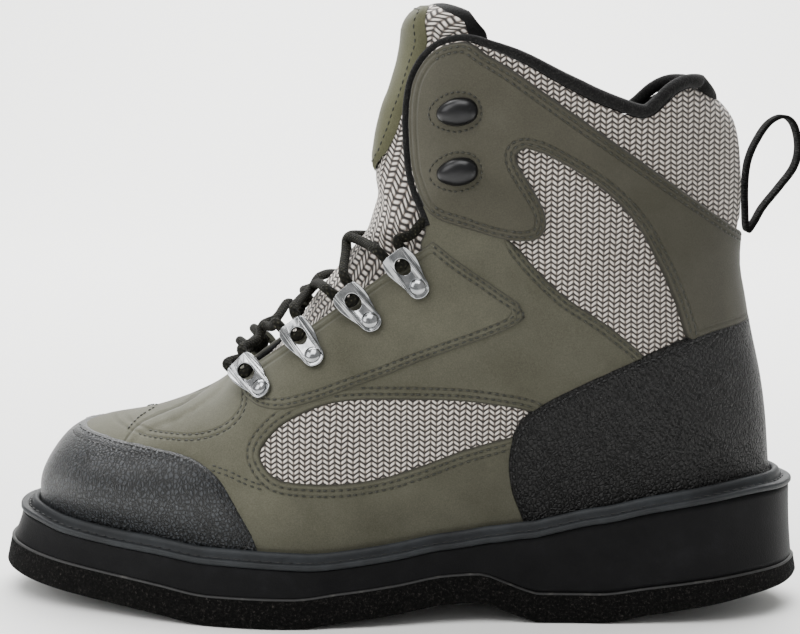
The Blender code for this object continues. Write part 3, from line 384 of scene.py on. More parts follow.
# Glue line: a thin uneven bead of dried cement, squeezed out between felt and rubber
glue_finish, tree, shader = new_finish("dried_cement", Roughness=0.6)
where = place_on(tree)
patchy = noise_of(tree, where, 260.0, 4.0)
paint(tree, shader, patchy, [(0.46, "#0a0a0a"), (0.60, "#121211"), (0.74, "#3a3835")])
glue_rings = [(grown(lean_line, out), felt_top, rise) for out, rise in GLUE_STEPS]
make_piece("glue_line", ring_profile(glue_rings), [glue_finish])

# Welt
# A strip of grey rubber stitched down round the foot: a rounded bead that leans on the upper, a
# groove with dark lock stitches, and a flat flange that ends flush with the midsole.
WELT_THICKNESS = 0.0020
WELT_SEAT = 0.0005
WELT_INNER = 0.0050
UPPER_INSET = 0.0105
BEAD_CLEAR = 0.0022
BEAD_WIDTH = 0.0038
BEAD_HEIGHT = 0.0032
GROOVE_WIDTH = 0.0012
GROOVE_DEPTH = 0.0010
GROOVE_START = 0.0002
BEAD_FOOT = 0.0004
# Shares of the groove's width and depth, and the rounded edge of the flange: outwards, and up
GROOVE_STEPS = [(0.1, 0.3), (0.3, 0.9), (0.5, 1.0), (0.7, 0.9), (1.0, 0.1), (1.3, 0.0)]
FLANGE_STEPS = [(-0.0009, 0.0), (-0.0004, -0.00008), (-0.0001, -0.0004), (0.0, -0.0008)]
UNDER_STEPS = [(0.0, WELT_SEAT + 0.0003), (-0.0006, 0.0001)]


def welt_top(x):
    """Height of the welt's flat flange."""
    return midsole_top(x) + WELT_SEAT + WELT_THICKNESS


feather_line = grown(flange_line, -UPPER_INSET)
# Welt rubber: dark grey, smooth and a little uneven in tone
welt_finish, tree, shader = new_finish("welt_strip", Roughness=0.55, Specular_IOR_Level=0.2)
where = place_on(tree)
tone = noise_of(tree, where, 45.0, 5.0, 0.65)
fine = noise_of(tree, where, 1200.0, 2.0)
paint(tree, shader, tone, [(0.3, "#1b1c1e"), (0.5, "#232527"), (0.7, "#2d3033")])
bump_of(tree, shader, fine, 0.0001)
bead = [(BEAD_CLEAR + BEAD_WIDTH * (1 - math.cos(a)) / 2, BEAD_HEIGHT * math.sin(a) ** 0.8)
        for a in [math.pi * k / 10 for k in range(11)]]
groove_from = BEAD_CLEAR + BEAD_WIDTH + GROOVE_START
groove = [(groove_from + GROOVE_WIDTH * s, -GROOVE_DEPTH * d) for s, d in GROOVE_STEPS]
welt_rings = [(grown(feather_line, -WELT_INNER), midsole_top, WELT_SEAT),
              (grown(feather_line, -WELT_INNER), welt_top, 0.0),
              (grown(feather_line, BEAD_CLEAR - BEAD_FOOT), welt_top, 0.0)]
welt_rings += [(grown(feather_line, out), welt_top, rise) for out, rise in bead + groove]
welt_rings += [(grown(flange_line, out), welt_top, rise) for out, rise in FLANGE_STEPS]
welt_rings += [(grown(flange_line, out), midsole_top, rise) for out, rise in UNDER_STEPS]
welt_rings.append((grown(feather_line, -WELT_INNER), midsole_top, WELT_SEAT))
make_piece("welt_dressed", ring_profile(welt_rings), [welt_finish], ["welt"])

# Upper: skin
# The hollow upper is lasted over a foot form. Its skin is a fan of sections from the toe over the
# instep to the collar, with soft creases at the ball of the foot, the instep and the ankle.
UPPER_HEIGHT = 0.218
FOOT_CLEAR = 0.0010
FOOT_LEVEL = FELT_THICKNESS + GAP + MIDSOLE_FORE + WELT_SEAT + WELT_THICKNESS + GAP
BACK_SQUARE = 2.35
FOOT_SQUARE = 4.0
PLACES = 6
GIRTHS = 60
LOW_SHARE = 0.4
HEEL_FROM = 0.60
HEEL_PASSES = 14
TINY = 1e-14

SectionRow = namedtuple("SectionRow", "low_x low_up top_x top_up ridge outer inner widest square roll")
SECTIONS = [
    SectionRow(0.000, 0.000, 0.000, 0.080, 0.071, 0.000, 0.000, 0.45, 2.6, 0.00),
    SectionRow(0.003, 0.000, 0.003, 0.103, 0.071, 0.072, 0.070, 0.45, 2.6, 0.00),
    SectionRow(0.012, 0.000, 0.011, 0.128, 0.071, 0.130, 0.122, 0.44, 2.6, 0.00),
    SectionRow(0.036, 0.000, 0.040, 0.180, 0.069, 0.214, 0.206, 0.42, 2.6, 0.00),
    SectionRow(0.079, 0.000, 0.080, 0.206, 0.063, 0.300, 0.288, 0.40, 2.5, 0.00),
    SectionRow(0.149, 0.000, 0.149, 0.225, 0.050, 0.362, 0.350, 0.38, 2.3, 0.00),
    SectionRow(0.193, 0.000, 0.198, 0.248, 0.042, 0.392, 0.373, 0.36, 2.2, 0.00),
    SectionRow(0.232, 0.000, 0.243, 0.275, 0.034, 0.416, 0.391, 0.34, 2.1, 0.00),
    SectionRow(0.325, 0.000, 0.310, 0.359, 0.017, 0.441, 0.395, 0.30, 2.1, 0.00),
    SectionRow(0.415, 0.000, 0.370, 0.450, 0.000, 0.412, 0.370, 0.29, 2.2, 0.00),
    SectionRow(0.499, 0.000, 0.427, 0.528, -0.004, 0.370, 0.328, 0.30, 2.3, 0.05),
    SectionRow(0.592, 0.000, 0.457, 0.584, 0.000, 0.349, 0.311, 0.34, 2.5, 0.12),
    SectionRow(0.699, 0.000, 0.465, 0.634, 0.000, 0.332, 0.315, 0.40, 2.7, 0.22),
    SectionRow(0.816, 0.000, 0.466, 0.675, 0.000, 0.324, 0.315, 0.44, 2.8, 0.38),
    SectionRow(0.929, 0.000, 0.467, 0.712, 0.000, 0.319, 0.315, 0.47, 2.9, 0.62),
    SectionRow(0.979, 0.000, 0.468, 0.734, 0.000, 0.317, 0.314, 0.49, 3.0, 0.86),
    SectionRow(1.000, 0.000, 0.469, 0.757, 0.000, 0.315, 0.314, 0.50, 3.0, 1.00),
    SectionRow(0.995, 0.092, 0.471, 0.784, 0.000, 0.315, 0.314, 0.52, 3.0, 1.00),
    SectionRow(0.984, 0.188, 0.474, 0.812, 0.000, 0.315, 0.314, 0.54, 3.0, 1.00),
    SectionRow(0.966, 0.289, 0.478, 0.835, 0.000, 0.316, 0.315, 0.56, 3.0, 1.00),
    SectionRow(0.953, 0.436, 0.484, 0.867, 0.000, 0.320, 0.318, 0.58, 3.0, 1.00),
    SectionRow(0.954, 0.522, 0.492, 0.899, 0.000, 0.328, 0.326, 0.59, 3.0, 1.00),
    SectionRow(0.951, 0.595, 0.501, 0.931, 0.000, 0.338, 0.336, 0.59, 3.0, 1.00),
    SectionRow(0.943, 0.653, 0.510, 0.963, 0.000, 0.345, 0.343, 0.59, 3.0, 1.00),
    SectionRow(0.925, 0.694, 0.530, 0.986, 0.000, 0.347, 0.345, 0.59, 3.0, 1.00),
    SectionRow(0.899, 0.726, 0.554, 0.998, 0.000, 0.342, 0.340, 0.59, 3.0, 1.00),
]
# Places along the boot and up it, as shares of the foot's length and of the upper's height
THROAT_FOOT = [(0.200, 0.420), (0.247, 0.283), (0.262, 0.292), (0.281, 0.311)]
THROAT_MIDDLE = [
    (0.281, 0.311), (0.300, 0.330), (0.338, 0.369), (0.402, 0.433), (0.468, 0.500), (0.502, 0.534),
    (0.532, 0.563),
]
THROAT_NECK = [(0.532, 0.563), (0.537, 0.574), (0.541, 0.585), (0.537, 0.601), (0.531, 0.622)]
THROAT_HIGH = [
    (0.531, 0.622), (0.518, 0.660), (0.510, 0.705), (0.506, 0.784), (0.510, 0.845), (0.522, 0.885),
    (0.540, 0.912), (0.561, 0.924), (0.583, 0.925),
]
COLLAR_EDGE = [
    (0.583, 0.925), (0.605, 0.915), (0.647, 0.892), (0.698, 0.853), (0.737, 0.826), (0.776, 0.805),
    (0.800, 0.795), (0.815, 0.796), (0.828, 0.808), (0.848, 0.834), (0.866, 0.847), (0.884, 0.848),
    (0.905, 0.840), (0.950, 0.832), (1.200, 0.832),
]
FACING_EDGE = [
    (0.281, 0.311), (0.291, 0.284), (0.318, 0.267), (0.350, 0.268), (0.397, 0.288), (0.423, 0.302),
    (0.476, 0.329), (0.529, 0.359), (0.608, 0.399), (0.648, 0.424), (0.662, 0.443), (0.656, 0.461),
    (0.626, 0.489), (0.574, 0.537), (0.550, 0.562), (0.537, 0.574),
]
BAND_FRONT_EDGE = [
    (0.531, 0.622), (0.545, 0.609), (0.567, 0.599), (0.612, 0.582), (0.645, 0.574), (0.674, 0.578),
    (0.685, 0.602), (0.682, 0.634), (0.664, 0.675), (0.648, 0.710), (0.645, 0.728), (0.652, 0.738),
    (0.664, 0.738), (0.684, 0.728), (0.729, 0.694), (0.770, 0.653), (0.805, 0.600), (0.828, 0.545),
    (0.848, 0.488), (0.866, 0.420), (0.876, 0.340),
]
BAND_TOP_EDGE = [
    (1.150, 0.560), (1.000, 0.570), (0.951, 0.587), (0.915, 0.617), (0.887, 0.643), (0.833, 0.694),
    (0.783, 0.741), (0.740, 0.781), (0.699, 0.820), (0.640, 0.876), (0.606, 0.904),
]
ANKLE_WINDOW_EDGE = [
    (0.645, 0.574), (0.666, 0.536), (0.712, 0.475), (0.762, 0.431), (0.812, 0.377), (0.840, 0.340),
]
CAP_EDGE = [
    (0.035, 0.260), (0.045, 0.210), (0.052, 0.199), (0.073, 0.196), (0.098, 0.193), (0.121, 0.189),
    (0.166, 0.185), (0.208, 0.180), (0.238, 0.169), (0.264, 0.146), (0.282, 0.110), (0.298, 0.070),
    (0.312, 0.027), (0.322, -0.040), (0.322, -0.150),
]
COUNTER_EDGE = [
    (1.150, 0.445), (0.990, 0.438), (0.950, 0.426), (0.890, 0.410), (0.810, 0.367), (0.732, 0.317),
    (0.681, 0.280), (0.652, 0.243), (0.640, 0.185), (0.644, 0.123), (0.658, 0.071), (0.676, 0.000),
    (0.690, -0.150),
]
WINDOW = [
    (0.317, 0.190), (0.331, 0.224), (0.357, 0.253), (0.400, 0.279), (0.450, 0.288), (0.555, 0.287),
    (0.620, 0.279), (0.675, 0.262), (0.668, 0.232), (0.642, 0.220), (0.582, 0.197), (0.530, 0.171),
    (0.477, 0.149), (0.424, 0.140), (0.371, 0.142), (0.337, 0.152),
]

FOOT_START = min(x for x, y in feather_line)
FOOT_LENGTH = max(x for x, y in feather_line) - FOOT_START
half_way = len(feather_line) // 2
FEATHER = {-1: sorted(feather_line[:half_way + 1]), 1: sorted(feather_line[half_way:] + feather_line[:1])}


def feather_y(x, side):
    """Edge of the upper's foot at a place along the boot, side -1 outer and +1 inner."""
    return float(np.interp(x, [p[0] for p in FEATHER[side]], [p[1] for p in FEATHER[side]]))


def along(share):
    """Place along the boot from a share of the upper's foot."""
    return FOOT_START + share * FOOT_LENGTH


def up(share):
    """Height over the floor from a share of the upper's height."""
    return FOOT_LEVEL + share * UPPER_HEIGHT


section_rows = {}


def section_at(place):
    """The table's row at a place between the sections."""
    key = round(place, 6)
    if key not in section_rows:
        section_rows[key] = SectionRow(*[steady(column(SECTIONS, n), place) for n in SectionRow._fields])
    return section_rows[key]


def section_point(place, t, side):
    """Point of the skin on a section, from its low point at t 0 to the ridge at t 1."""
    row = section_at(place)
    low_x = along(min(row.low_x, 1.0))
    low_z = welt_top(low_x) + FOOT_CLEAR + row.low_up * UPPER_HEIGHT
    top_x, top_z = along(row.top_x), up(row.top_up)
    ridge = row.ridge * SOLE_WIDTH
    widest = (row.outer if side < 0 else row.inner) * SOLE_WIDTH
    foot = 0.0
    if row.low_up <= 0 and row.low_x < 1:
        foot = max(side * (feather_y(low_x, side) - ridge), 0.0)
    if t < row.widest:
        u = t / row.widest
        standing = eased(u)
        if row.roll >= 1:
            rolled = math.sqrt(max(1 - (1 - u) ** BACK_SQUARE, 0.0))
        else:
            rolled = 1 - (1 - u) ** FOOT_SQUARE
        half = foot + (widest - foot) * (standing * (1 - row.roll) + rolled * row.roll)
    else:
        u = (t - row.widest) / (1 - row.widest)
        half = widest * math.sqrt(max(1 - u ** row.square, 0.0))
    return Vector((low_x + (top_x - low_x) * t, ridge + side * half, low_z + (top_z - low_z) * t))


def skin_point(place, girth, side):
    """The same, with girth from 0 to 1 in even steps over the curve of the section."""
    row = section_at(place)
    if girth < LOW_SHARE:
        t = row.widest * (girth / LOW_SHARE) ** 1.5
    else:
        turn = (girth - LOW_SHARE) / (1 - LOW_SHARE) * math.pi / 2
        t = row.widest + (1 - row.widest) * math.sin(turn) ** (2 / row.square)
    return section_point(place, min(t, 1.0), side)


def side_line(spots, steps=6, closed=False):
    """Smooth line through places given as shares, in metres, seen from the side."""
    return flowing([(along(a), up(b)) for a, b in spots], steps, closed)


def off_pieces(one, two, x, z):
    """Distance of places from the nearest straight piece between two rows of points, and how often
    the pieces cross a line drawn from each place."""
    (ax, az), (bx, bz) = np.array(one).T[:, :, None], np.array(two).T[:, :, None]
    dx, dz = bx - ax, bz - az
    nearest, crossed = [], []
    for first in range(0, len(x), 1500):
        px, pz = x[first:first + 1500], z[first:first + 1500]
        share = np.clip(((px - ax) * dx + (pz - az) * dz) / np.maximum(dx * dx + dz * dz, TINY), 0.0, 1.0)
        nearest.append(np.hypot(ax + dx * share - px, az + dz * share - pz).min(0))
        crossing = ((az > pz) != (bz > pz)) & (px < ax + dx * (pz - az) / np.where(dz == 0, TINY, dz))
        crossed.append(crossing.sum(0))
    return np.concatenate(nearest), np.concatenate(crossed)


def depth_in(outline, x, z):
    """How deep places lie inside a closed side outline, below zero outside it."""
    nearest, crossed = off_pieces(outline, outline[1:] + outline[:1], x, z)
    return np.where(crossed % 2 == 1, nearest, -nearest)


def off_line(line, x, z):
    """Distance of places from an open side line."""
    return off_pieces(line[:-1], line[1:], x, z)[0]


opening_line = (side_line(THROAT_FOOT) + side_line(THROAT_MIDDLE) + side_line(THROAT_NECK)
                + side_line(THROAT_HIGH) + side_line(COLLAR_EDGE)
                + side_line([(1.200, 1.250), (0.200, 1.250)], 1))
window_line = side_line(WINDOW, 8, closed=True)
cap_line = side_line(CAP_EDGE) + side_line([(-0.150, -0.150), (-0.150, 0.260)], 1)
counter_line = side_line(COUNTER_EDGE) + side_line([(1.150, -0.150)] * 2, 1)
facing_line = side_line(FACING_EDGE, 8) + side_line(THROAT_MIDDLE[::-1])
band_line = (side_line(BAND_FRONT_EDGE, 8) + side_line([(1.150, 0.340)] * 2, 1)
             + side_line(BAND_TOP_EDGE + THROAT_HIGH[::-1]))
above_quarter_line = (side_line(THROAT_FOOT) + side_line(FACING_EDGE, 8) + side_line(THROAT_NECK)
                      + side_line(BAND_FRONT_EDGE[:5]) + side_line(ANKLE_WINDOW_EDGE)
                      + side_line([(1.200, 0.340), (1.200, 1.250), (0.200, 1.250)], 1))

# Creases: places that the trough runs through, its depth and width in metres, and its sides
CreaseRow = namedtuple("CreaseRow", "spots depth width sides")
CREASES = [
    CreaseRow([(0.300, 0.130), (0.330, 0.120), (0.372, 0.108)], 0.0007, 0.0050, (-1, 1)),
    CreaseRow([(0.395, 0.080), (0.450, 0.060), (0.520, 0.060)], 0.0005, 0.0070, (-1, 1)),
    CreaseRow([(0.560, 0.470), (0.610, 0.520), (0.650, 0.560)], 0.0008, 0.0060, (-1, 1)),
    CreaseRow([(0.700, 0.440), (0.760, 0.500), (0.800, 0.560)], 0.0011, 0.0080, (-1, 1)),
    CreaseRow([(0.730, 0.560), (0.790, 0.470), (0.840, 0.400)], -0.0012, 0.0090, (-1, 1)),
    CreaseRow([(0.850, 0.560), (0.900, 0.520), (0.960, 0.520)], 0.0009, 0.0090, (-1, 1)),
    CreaseRow([(0.660, 0.850), (0.740, 0.790), (0.800, 0.740), (0.860, 0.700)], -0.0008, 0.0080, (-1, 1)),
    CreaseRow([(0.600, 0.640), (0.640, 0.690), (0.620, 0.760)], 0.0005, 0.0090, (-1, 1)),
    CreaseRow([(0.340, 0.330), (0.430, 0.360), (0.520, 0.420)], -0.0005, 0.0120, (-1, 1)),
]


def build_skin():
    """The skin as one open sheet over the ridge, creased, with its outward directions kept."""
    last = len(SECTIONS) - 1

    def at(u, v):
        place = round(u * last * PLACES) / PLACES
        girth = 1 - abs(v * 2 - 1)
        return skin_point(place, girth, -1 if v < 0.5 else 1)

    bm = mapped(last * PLACES, 2 * GIRTHS, at)
    if sum(f.normal.y * f.calc_center_median().y for f in bm.faces) < 0:
        bmesh.ops.reverse_faces(bm, faces=bm.faces)
    heel = [v for v in bm.verts
            if v.co.x > along(HEEL_FROM) and v.co.z < up(HEEL_FROM) and not v.is_boundary]
    for _ in range(HEEL_PASSES):
        bmesh.ops.smooth_vert(bm, verts=heel, factor=0.5, use_axis_x=True, use_axis_y=True, use_axis_z=True)
    bm.normal_update()
    x = np.array([v.co.x for v in bm.verts])
    z = np.array([v.co.z for v in bm.verts])
    side = np.sign([v.co.y for v in bm.verts])
    moved = np.zeros(len(x))
    for crease in CREASES:
        here = np.isin(side, crease.sides)
        off = off_line(side_line(crease.spots), x, z)
        moved -= crease.depth * np.exp(-(off / crease.width) ** 2) * here
    outwards = [v.normal.copy() for v in bm.verts]
    for v, normal, amount in zip(bm.verts, outwards, moved):
        v.co += normal * amount
    bm.normal_update()
    out = bm.verts.layers.float_vector.new("out")
    for v in bm.verts:
        v[out] = v.normal
    return bm


skin = build_skin()
skin_tree = BVHTree.FromBMesh(skin)
NEAR = 0.00015
SHEET_MARGIN = 0.012


def cut_along(bm, layer, level):
    """Cuts the faces of a sheet where a value of its points passes a level."""
    for v in bm.verts:
        if abs(v[layer] - level) < NEAR:
            v[layer] = level
    fresh = [v for v in bm.verts if v[layer] == level]
    for edge in list(bm.edges):
        one, two = edge.verts
        a, b = one[layer] - level, two[layer] - level
        if a * b < 0:
            _, made = bmesh.utils.edge_split(edge, one, a / (a - b))
            made[layer] = level
            fresh.append(made)
    bmesh.ops.connect_verts(bm, verts=fresh)


def sheet_within(inside, levels, values=None):
    """Part of the skin inside an outline, cut at some distances from its edge.

    inside gives the depth of places inside the outline, and values are more depths kept with it."""
    bm = skin.copy()
    x = np.array([v.co.x for v in bm.verts])
    z = np.array([v.co.z for v in bm.verts])
    layers = {"edge": inside(x, z)}
    for name, wanted in (values or {}).items():
        layers[name] = wanted(x, z)
    for name, depths in layers.items():
        layer = bm.verts.layers.float.new(name)
        for v, depth in zip(bm.verts, depths):
            v[layer] = depth
    edge = bm.verts.layers.float["edge"]
    far = [v for v in bm.verts if v[edge] < -SHEET_MARGIN]
    bmesh.ops.delete(bm, geom=far, context="VERTS")
    for level in levels:
        cut_along(bm, edge, level)
        if level == levels[0]:
            bmesh.ops.delete(bm, geom=[v for v in bm.verts if v[edge] < level], context="VERTS")
    return bm


EDGE_DIP = 0.0004


def raised(bm, thickness, roll, extra=None):
    """Lifts a sheet off the skin to its thickness, with its edges rolled down to the skin."""
    out = bm.verts.layers.float_vector["out"]
    edge = bm.verts.layers.float["edge"]
    for v in bm.verts:
        share = min(v[edge] / roll, 1.0)
        lift = thickness * math.sqrt(1 - (1 - share) ** 2) - EDGE_DIP * (1 - share)
        v.co += v[out] * (lift + (extra(v) if extra else 0.0))
    return bm


# Upper: mesh fabric and lining
# Open zigzag mesh in warm grey over padding, seen in the window, behind the ankle and at the collar.
# Black brushed lining covers its inside.
UPPER_WALL = 0.0025
ZIG_LENGTH = 0.0023
ZIG_RISE = 0.0016
ZIG_PITCH = 0.00205
YARN_HALF = 0.42
YARN_WANDER = 0.002


def ranged(tree, value, low, high, first, last, smooth=False):
    """Value that goes from first to last while another goes from low to high."""
    made = add_node(tree, "ShaderNodeMapRange",
                    {"Value": value, "From Min": low, "From Max": high, "To Min": first, "To Max": last},
                    interpolation_type="SMOOTHSTEP" if smooth else "LINEAR")
    return made.outputs["Result"]


def mixed_in(tree, shade, share, code):
    """Colour with a share of another one, a hex value, mixed in."""
    inputs = {0: share, "A": shade, "B": colour(code)}
    return add_node(tree, "ShaderNodeMix", inputs, data_type="RGBA").outputs["Result"]


def zigzag_mesh(name, across, up_axis, source="Object"):
    """Zigzag knitted mesh: warm grey yarns about 1.4 mm thick with dark gaps between them, in rows of
    Vs 4.6 mm wide and 2 mm apart. Its colour follows the yarns' height: paler on their crests as a painted
    highlight, and darker towards the gaps, partly the dark padding seen through them and partly painted
    shade. It is painted a little darker towards the heel as painted shade."""
    finish, tree, shader = new_finish(name, Roughness=0.7, Sheen_Weight=0.15)
    standing = place_on(tree)
    where = standing
    if source != "Object":
        where = add_node(tree, "ShaderNodeUVMap", uv_map=source).outputs["UV"]
    split = add_node(tree, "ShaderNodeSeparateXYZ", {"Vector": where})
    wobble = math_node(tree, "MULTIPLY_ADD", noise_of(tree, where, 40.0, 1.0), YARN_WANDER, 0.0)
    u = math_node(tree, "ADD", split.outputs[across], wobble)
    v = math_node(tree, "ADD", split.outputs[up_axis], wobble)
    zig = math_node(tree, "PINGPONG", u, ZIG_LENGTH)
    risen = math_node(tree, "MULTIPLY_ADD", zig, ZIG_RISE / ZIG_LENGTH, v)
    row = math_node(tree, "FRACT", math_node(tree, "DIVIDE", risen, ZIG_PITCH))
    leg = math_node(tree, "FRACT", math_node(tree, "DIVIDE", u, ZIG_LENGTH))
    off_row = math_node(tree, "ABSOLUTE", math_node(tree, "SUBTRACT", row, 0.5))
    from_row = math_node(tree, "DIVIDE", off_row, YARN_HALF)
    drop = math_node(tree, "MULTIPLY", from_row, from_row)
    round_yarn = math_node(tree, "SUBTRACT", 1.0, drop, clamp=True)
    along_leg = math_node(tree, "MULTIPLY", math_node(tree, "PINGPONG", leg, 0.5), 2.0)
    bulge = ranged(tree, along_leg, 0.0, 0.6, 0.30, 1.0)
    height = math_node(tree, "MULTIPLY", round_yarn, bulge)
    twist = noise_of(tree, where, 1600.0, 2.0)
    # Painted highlight on the yarns' crests, darker towards the gaps: partly the padding seen through them,
    # partly painted shade
    tone = math_node(tree, "MULTIPLY_ADD", twist, 0.22, math_node(tree, "SUBTRACT", height, 0.11))
    shade = ramp(tree, tone, [(0.10, "#1a1614"), (0.32, "#544a43"), (0.54, "#9d9288"), (0.80, "#e9e1d8")])
    place = add_node(tree, "ShaderNodeSeparateXYZ", {"Vector": standing})
    # Painted shade: the mesh is mixed darker towards the heel
    heel_painted_shade = ranged(tree, place.outputs["X"], 0.0, 0.13, 0.0, 0.30)
    tree.links.new(mixed_in(tree, shade, heel_painted_shade, "#352d27"), shader.inputs["Base Color"])
    bump_of(tree, shader, height, 0.0009)
    return finish


mesh_finish = zigzag_mesh("knitted_mesh", "X", "Z")
# Brushed lining: dull black with a short soft nap
lining_finish, tree, shader = new_finish("brushed_lining", Roughness=1.0, Sheen_Weight=0.1,
                                         Specular_IOR_Level=0.15)
where = place_on(tree)
nap = noise_of(tree, where, 1100.0, 4.0, 0.7)
paint(tree, shader, nap, [(0.35, "#060606"), (0.6, "#101010"), (0.75, "#232221")])
bump_of(tree, shader, nap, 0.0004)
base = sheet_within(lambda x, z: -depth_in(opening_line, x, z), [0.0])
base_piece = make_piece("upper_mesh_and_lining", base, [mesh_finish, lining_finish],
                        ["upper"])
thick = base_piece.modifiers.new("lining", "SOLIDIFY")
thick.thickness = UPPER_WALL
thick.offset = -1.0
thick.material_offset = 1
thick.material_offset_rim = 1

# Vamp and quarter
# One panel of synthetic nubuck from toe cap to heel counter, with the window cut out of it. A sewn
# plug seam and a U of double stitches shape it over the toes.
VAMP_THICKNESS = 0.0012
FACING_THICKNESS = 0.0022
CAP_THICKNESS = 0.0017
ROLL = 0.0014
ROW_NEAR = 0.0017
ROW_FAR = 0.0037
PANEL_ROWS = (ROW_NEAR, ROW_FAR)
WINDOW_ROWS = (ROW_NEAR + 0.0006, ROW_FAR + 0.0010)
BAND_ROWS = (ROW_NEAR + 0.0003, ROW_FAR + 0.0003)
COUNTER_ROWS = (ROW_NEAR + 0.0005,)
DOUBLE_ROWS = (-0.0009, 0.0009)
EDGE_LEVELS = [ROLL * share for share in (0.0, 0.12, 0.35, 0.7, 1.0)]
UNDER_RUN = 0.0035
BAND_UNDER_RUN = 0.0030
MESH_CLEAR = 0.0040
FOLD_WIDTH = 0.0032
FOLD_HEIGHT = 0.0007
SEAM_WIDTH = 0.0006
SEAM_DEPTH = 0.0004
SOFT_GROOVE = 0.0008
FIRM_GROOVE = 0.0010
# Shares of painted shade mixed into the plug seam and the stitch grooves, and the span of the painted shadow
# line along a cut edge
SEAM_PAINTED_SHADE = 0.55
GROOVE_PAINTED_SHADE = 0.13
EDGE_SHADOW_SPAN = (0.0003, 0.0011)
PLUG_SEAM = [
    (0.131, 0.193), (0.137, 0.203), (0.145, 0.212), (0.169, 0.226), (0.196, 0.241), (0.224, 0.262),
    (0.242, 0.280), (0.255, 0.300),
]
VAMP_U = [
    (0.143, 0.203), (0.165, 0.201), (0.192, 0.202), (0.220, 0.204), (0.241, 0.210), (0.258, 0.219),
    (0.272, 0.230), (0.284, 0.244), (0.292, 0.261), (0.294, 0.278), (0.293, 0.296),
]
plug_line = side_line(PLUG_SEAM) + side_line([(0.230, 0.420), (0.020, 0.420), (0.020, 0.150),
                                              (0.110, 0.150)], 1)
u_line = side_line(VAMP_U) + side_line([(0.260, 0.420), (0.100, 0.420), (0.100, 0.215)], 1)


def nubuck(name, tones, rows=(), edge_shadowed=True):
    """Synthetic nubuck: sanded to a fine matt nap and paler where it is rubbed. It is painted darker towards
    the heel as painted shade, and darker along its cut edge as a painted shadow line, partly the cut edge's
    own darker colour. Rows are (kept depth, distances) of stitches that pull it into grooves, which are
    painted darker as painted shade."""
    finish, tree, shader = new_finish(name, Roughness=0.85, Sheen_Weight=0.12, Specular_IOR_Level=0.25)
    where = place_on(tree)
    nap = noise_of(tree, where, 1700.0, 4.0, 0.75)
    cloud = math_node(tree, "MULTIPLY", noise_of(tree, where, 28.0, 5.0, 0.6), 0.5)
    speck = math_node(tree, "MULTIPLY_ADD", nap, 0.5, cloud)
    shade = ramp(tree, speck, [(0.36, tones[0]), (0.50, tones[1]), (0.64, tones[2])])
    height = math_node(tree, "MULTIPLY", nap, 0.12)
    for layer, distances in rows:
        value = add_node(tree, "ShaderNodeAttribute", attribute_name=layer).outputs["Fac"]
        for distance in distances:
            off = math_node(tree, "ABSOLUTE", math_node(tree, "SUBTRACT", value, distance))
            dip = ranged(tree, off, 0.0, SOFT_GROOVE, 1.0, 0.0, smooth=True)
            height = math_node(tree, "MULTIPLY_ADD", dip, -0.5, height)
            # The plug seam and the stitch grooves are mixed darker as painted shade
            dark = SEAM_PAINTED_SHADE if distance == 0 else GROOVE_PAINTED_SHADE
            shade = mixed_in(tree, shade, math_node(tree, "MULTIPLY", dip, dark), "#2c2c22")
    edge = add_node(tree, "ShaderNodeAttribute", attribute_name="edge").outputs["Fac"]
    # Painted shadow line along the cut edge, partly the cut edge's own darker colour
    edge_painted_shadow = ranged(tree, edge, *EDGE_SHADOW_SPAN, 0.75, 0.0)
    split = add_node(tree, "ShaderNodeSeparateXYZ", {"Vector": where})
    # Painted shade: the nubuck is mixed darker towards the heel, where less light falls
    heel_painted_shade = ranged(tree, split.outputs["X"], -0.11, 0.13, 0.0, 0.42)
    for share in (heel_painted_shade, edge_painted_shadow if edge_shadowed else 0.0):
        shade = mixed_in(tree, shade, share, "#1b1915")
    tree.links.new(shade, shader.inputs["Base Color"])
    bump_of(tree, shader, height, 0.0007)
    return finish


# Olive green nubuck for the large panels; the ankle band's darker brown-green tones are mostly painted shade
GREEN = ("#424133", "#504f42", "#5d5c4e")
BAND_SHADED_GREEN = ("#3a392d", "#464439", "#514f44")
vamp_finish = nubuck("nubuck_vamp", GREEN, [("window", WINDOW_ROWS), ("plug", (0.0,)),
                                            ("vamp_u", DOUBLE_ROWS), ("ankle", PANEL_ROWS)])


def vamp_depth(x, z):
    """Depth inside the panel: it runs on under the cap, the counter and the facing."""
    over_mesh = off_line(side_line(ANKLE_WINDOW_EDGE), x, z) > MESH_CLEAR
    return np.minimum.reduce([UNDER_RUN - depth_in(cap_line, x, z), UNDER_RUN - depth_in(counter_line, x, z),
                              -depth_in(window_line, x, z),
                              UNDER_RUN * over_mesh - depth_in(above_quarter_line, x, z)])


def vamp_extra(bm):
    """The plug seam: a fold stands up beside it, and the panel is drawn down into it."""
    plug = bm.verts.layers.float["plug"]

    def fold(v):
        depth = v[plug]
        if -FOLD_WIDTH < depth < 0.0:
            return FOLD_HEIGHT * math.sin(math.pi * min(-depth / FOLD_WIDTH, 1.0)) ** 0.7
        return -SEAM_DEPTH if 0.0 <= depth < SEAM_WIDTH else 0.0

    return fold


vamp = sheet_within(vamp_depth, EDGE_LEVELS, {
    "window": lambda x, z: -depth_in(window_line, x, z),
    "plug": lambda x, z: depth_in(plug_line, x, z),
    "vamp_u": lambda x, z: depth_in(u_line, x, z),
    "ankle": lambda x, z: off_line(side_line(ANKLE_WINDOW_EDGE), x, z)})
plug_layer = vamp.verts.layers.float["plug"]
for level in (SEAM_WIDTH, 0.0, -FOLD_WIDTH / 4, -FOLD_WIDTH * 0.625, -FOLD_WIDTH, -FOLD_WIDTH * 1.25):
    cut_along(vamp, plug_layer, level)
make_piece("vamp_and_quarter_dressed", raised(vamp, VAMP_THICKNESS, ROLL, vamp_extra(vamp)), [vamp_finish],
           ["vamp_and_quarter"])

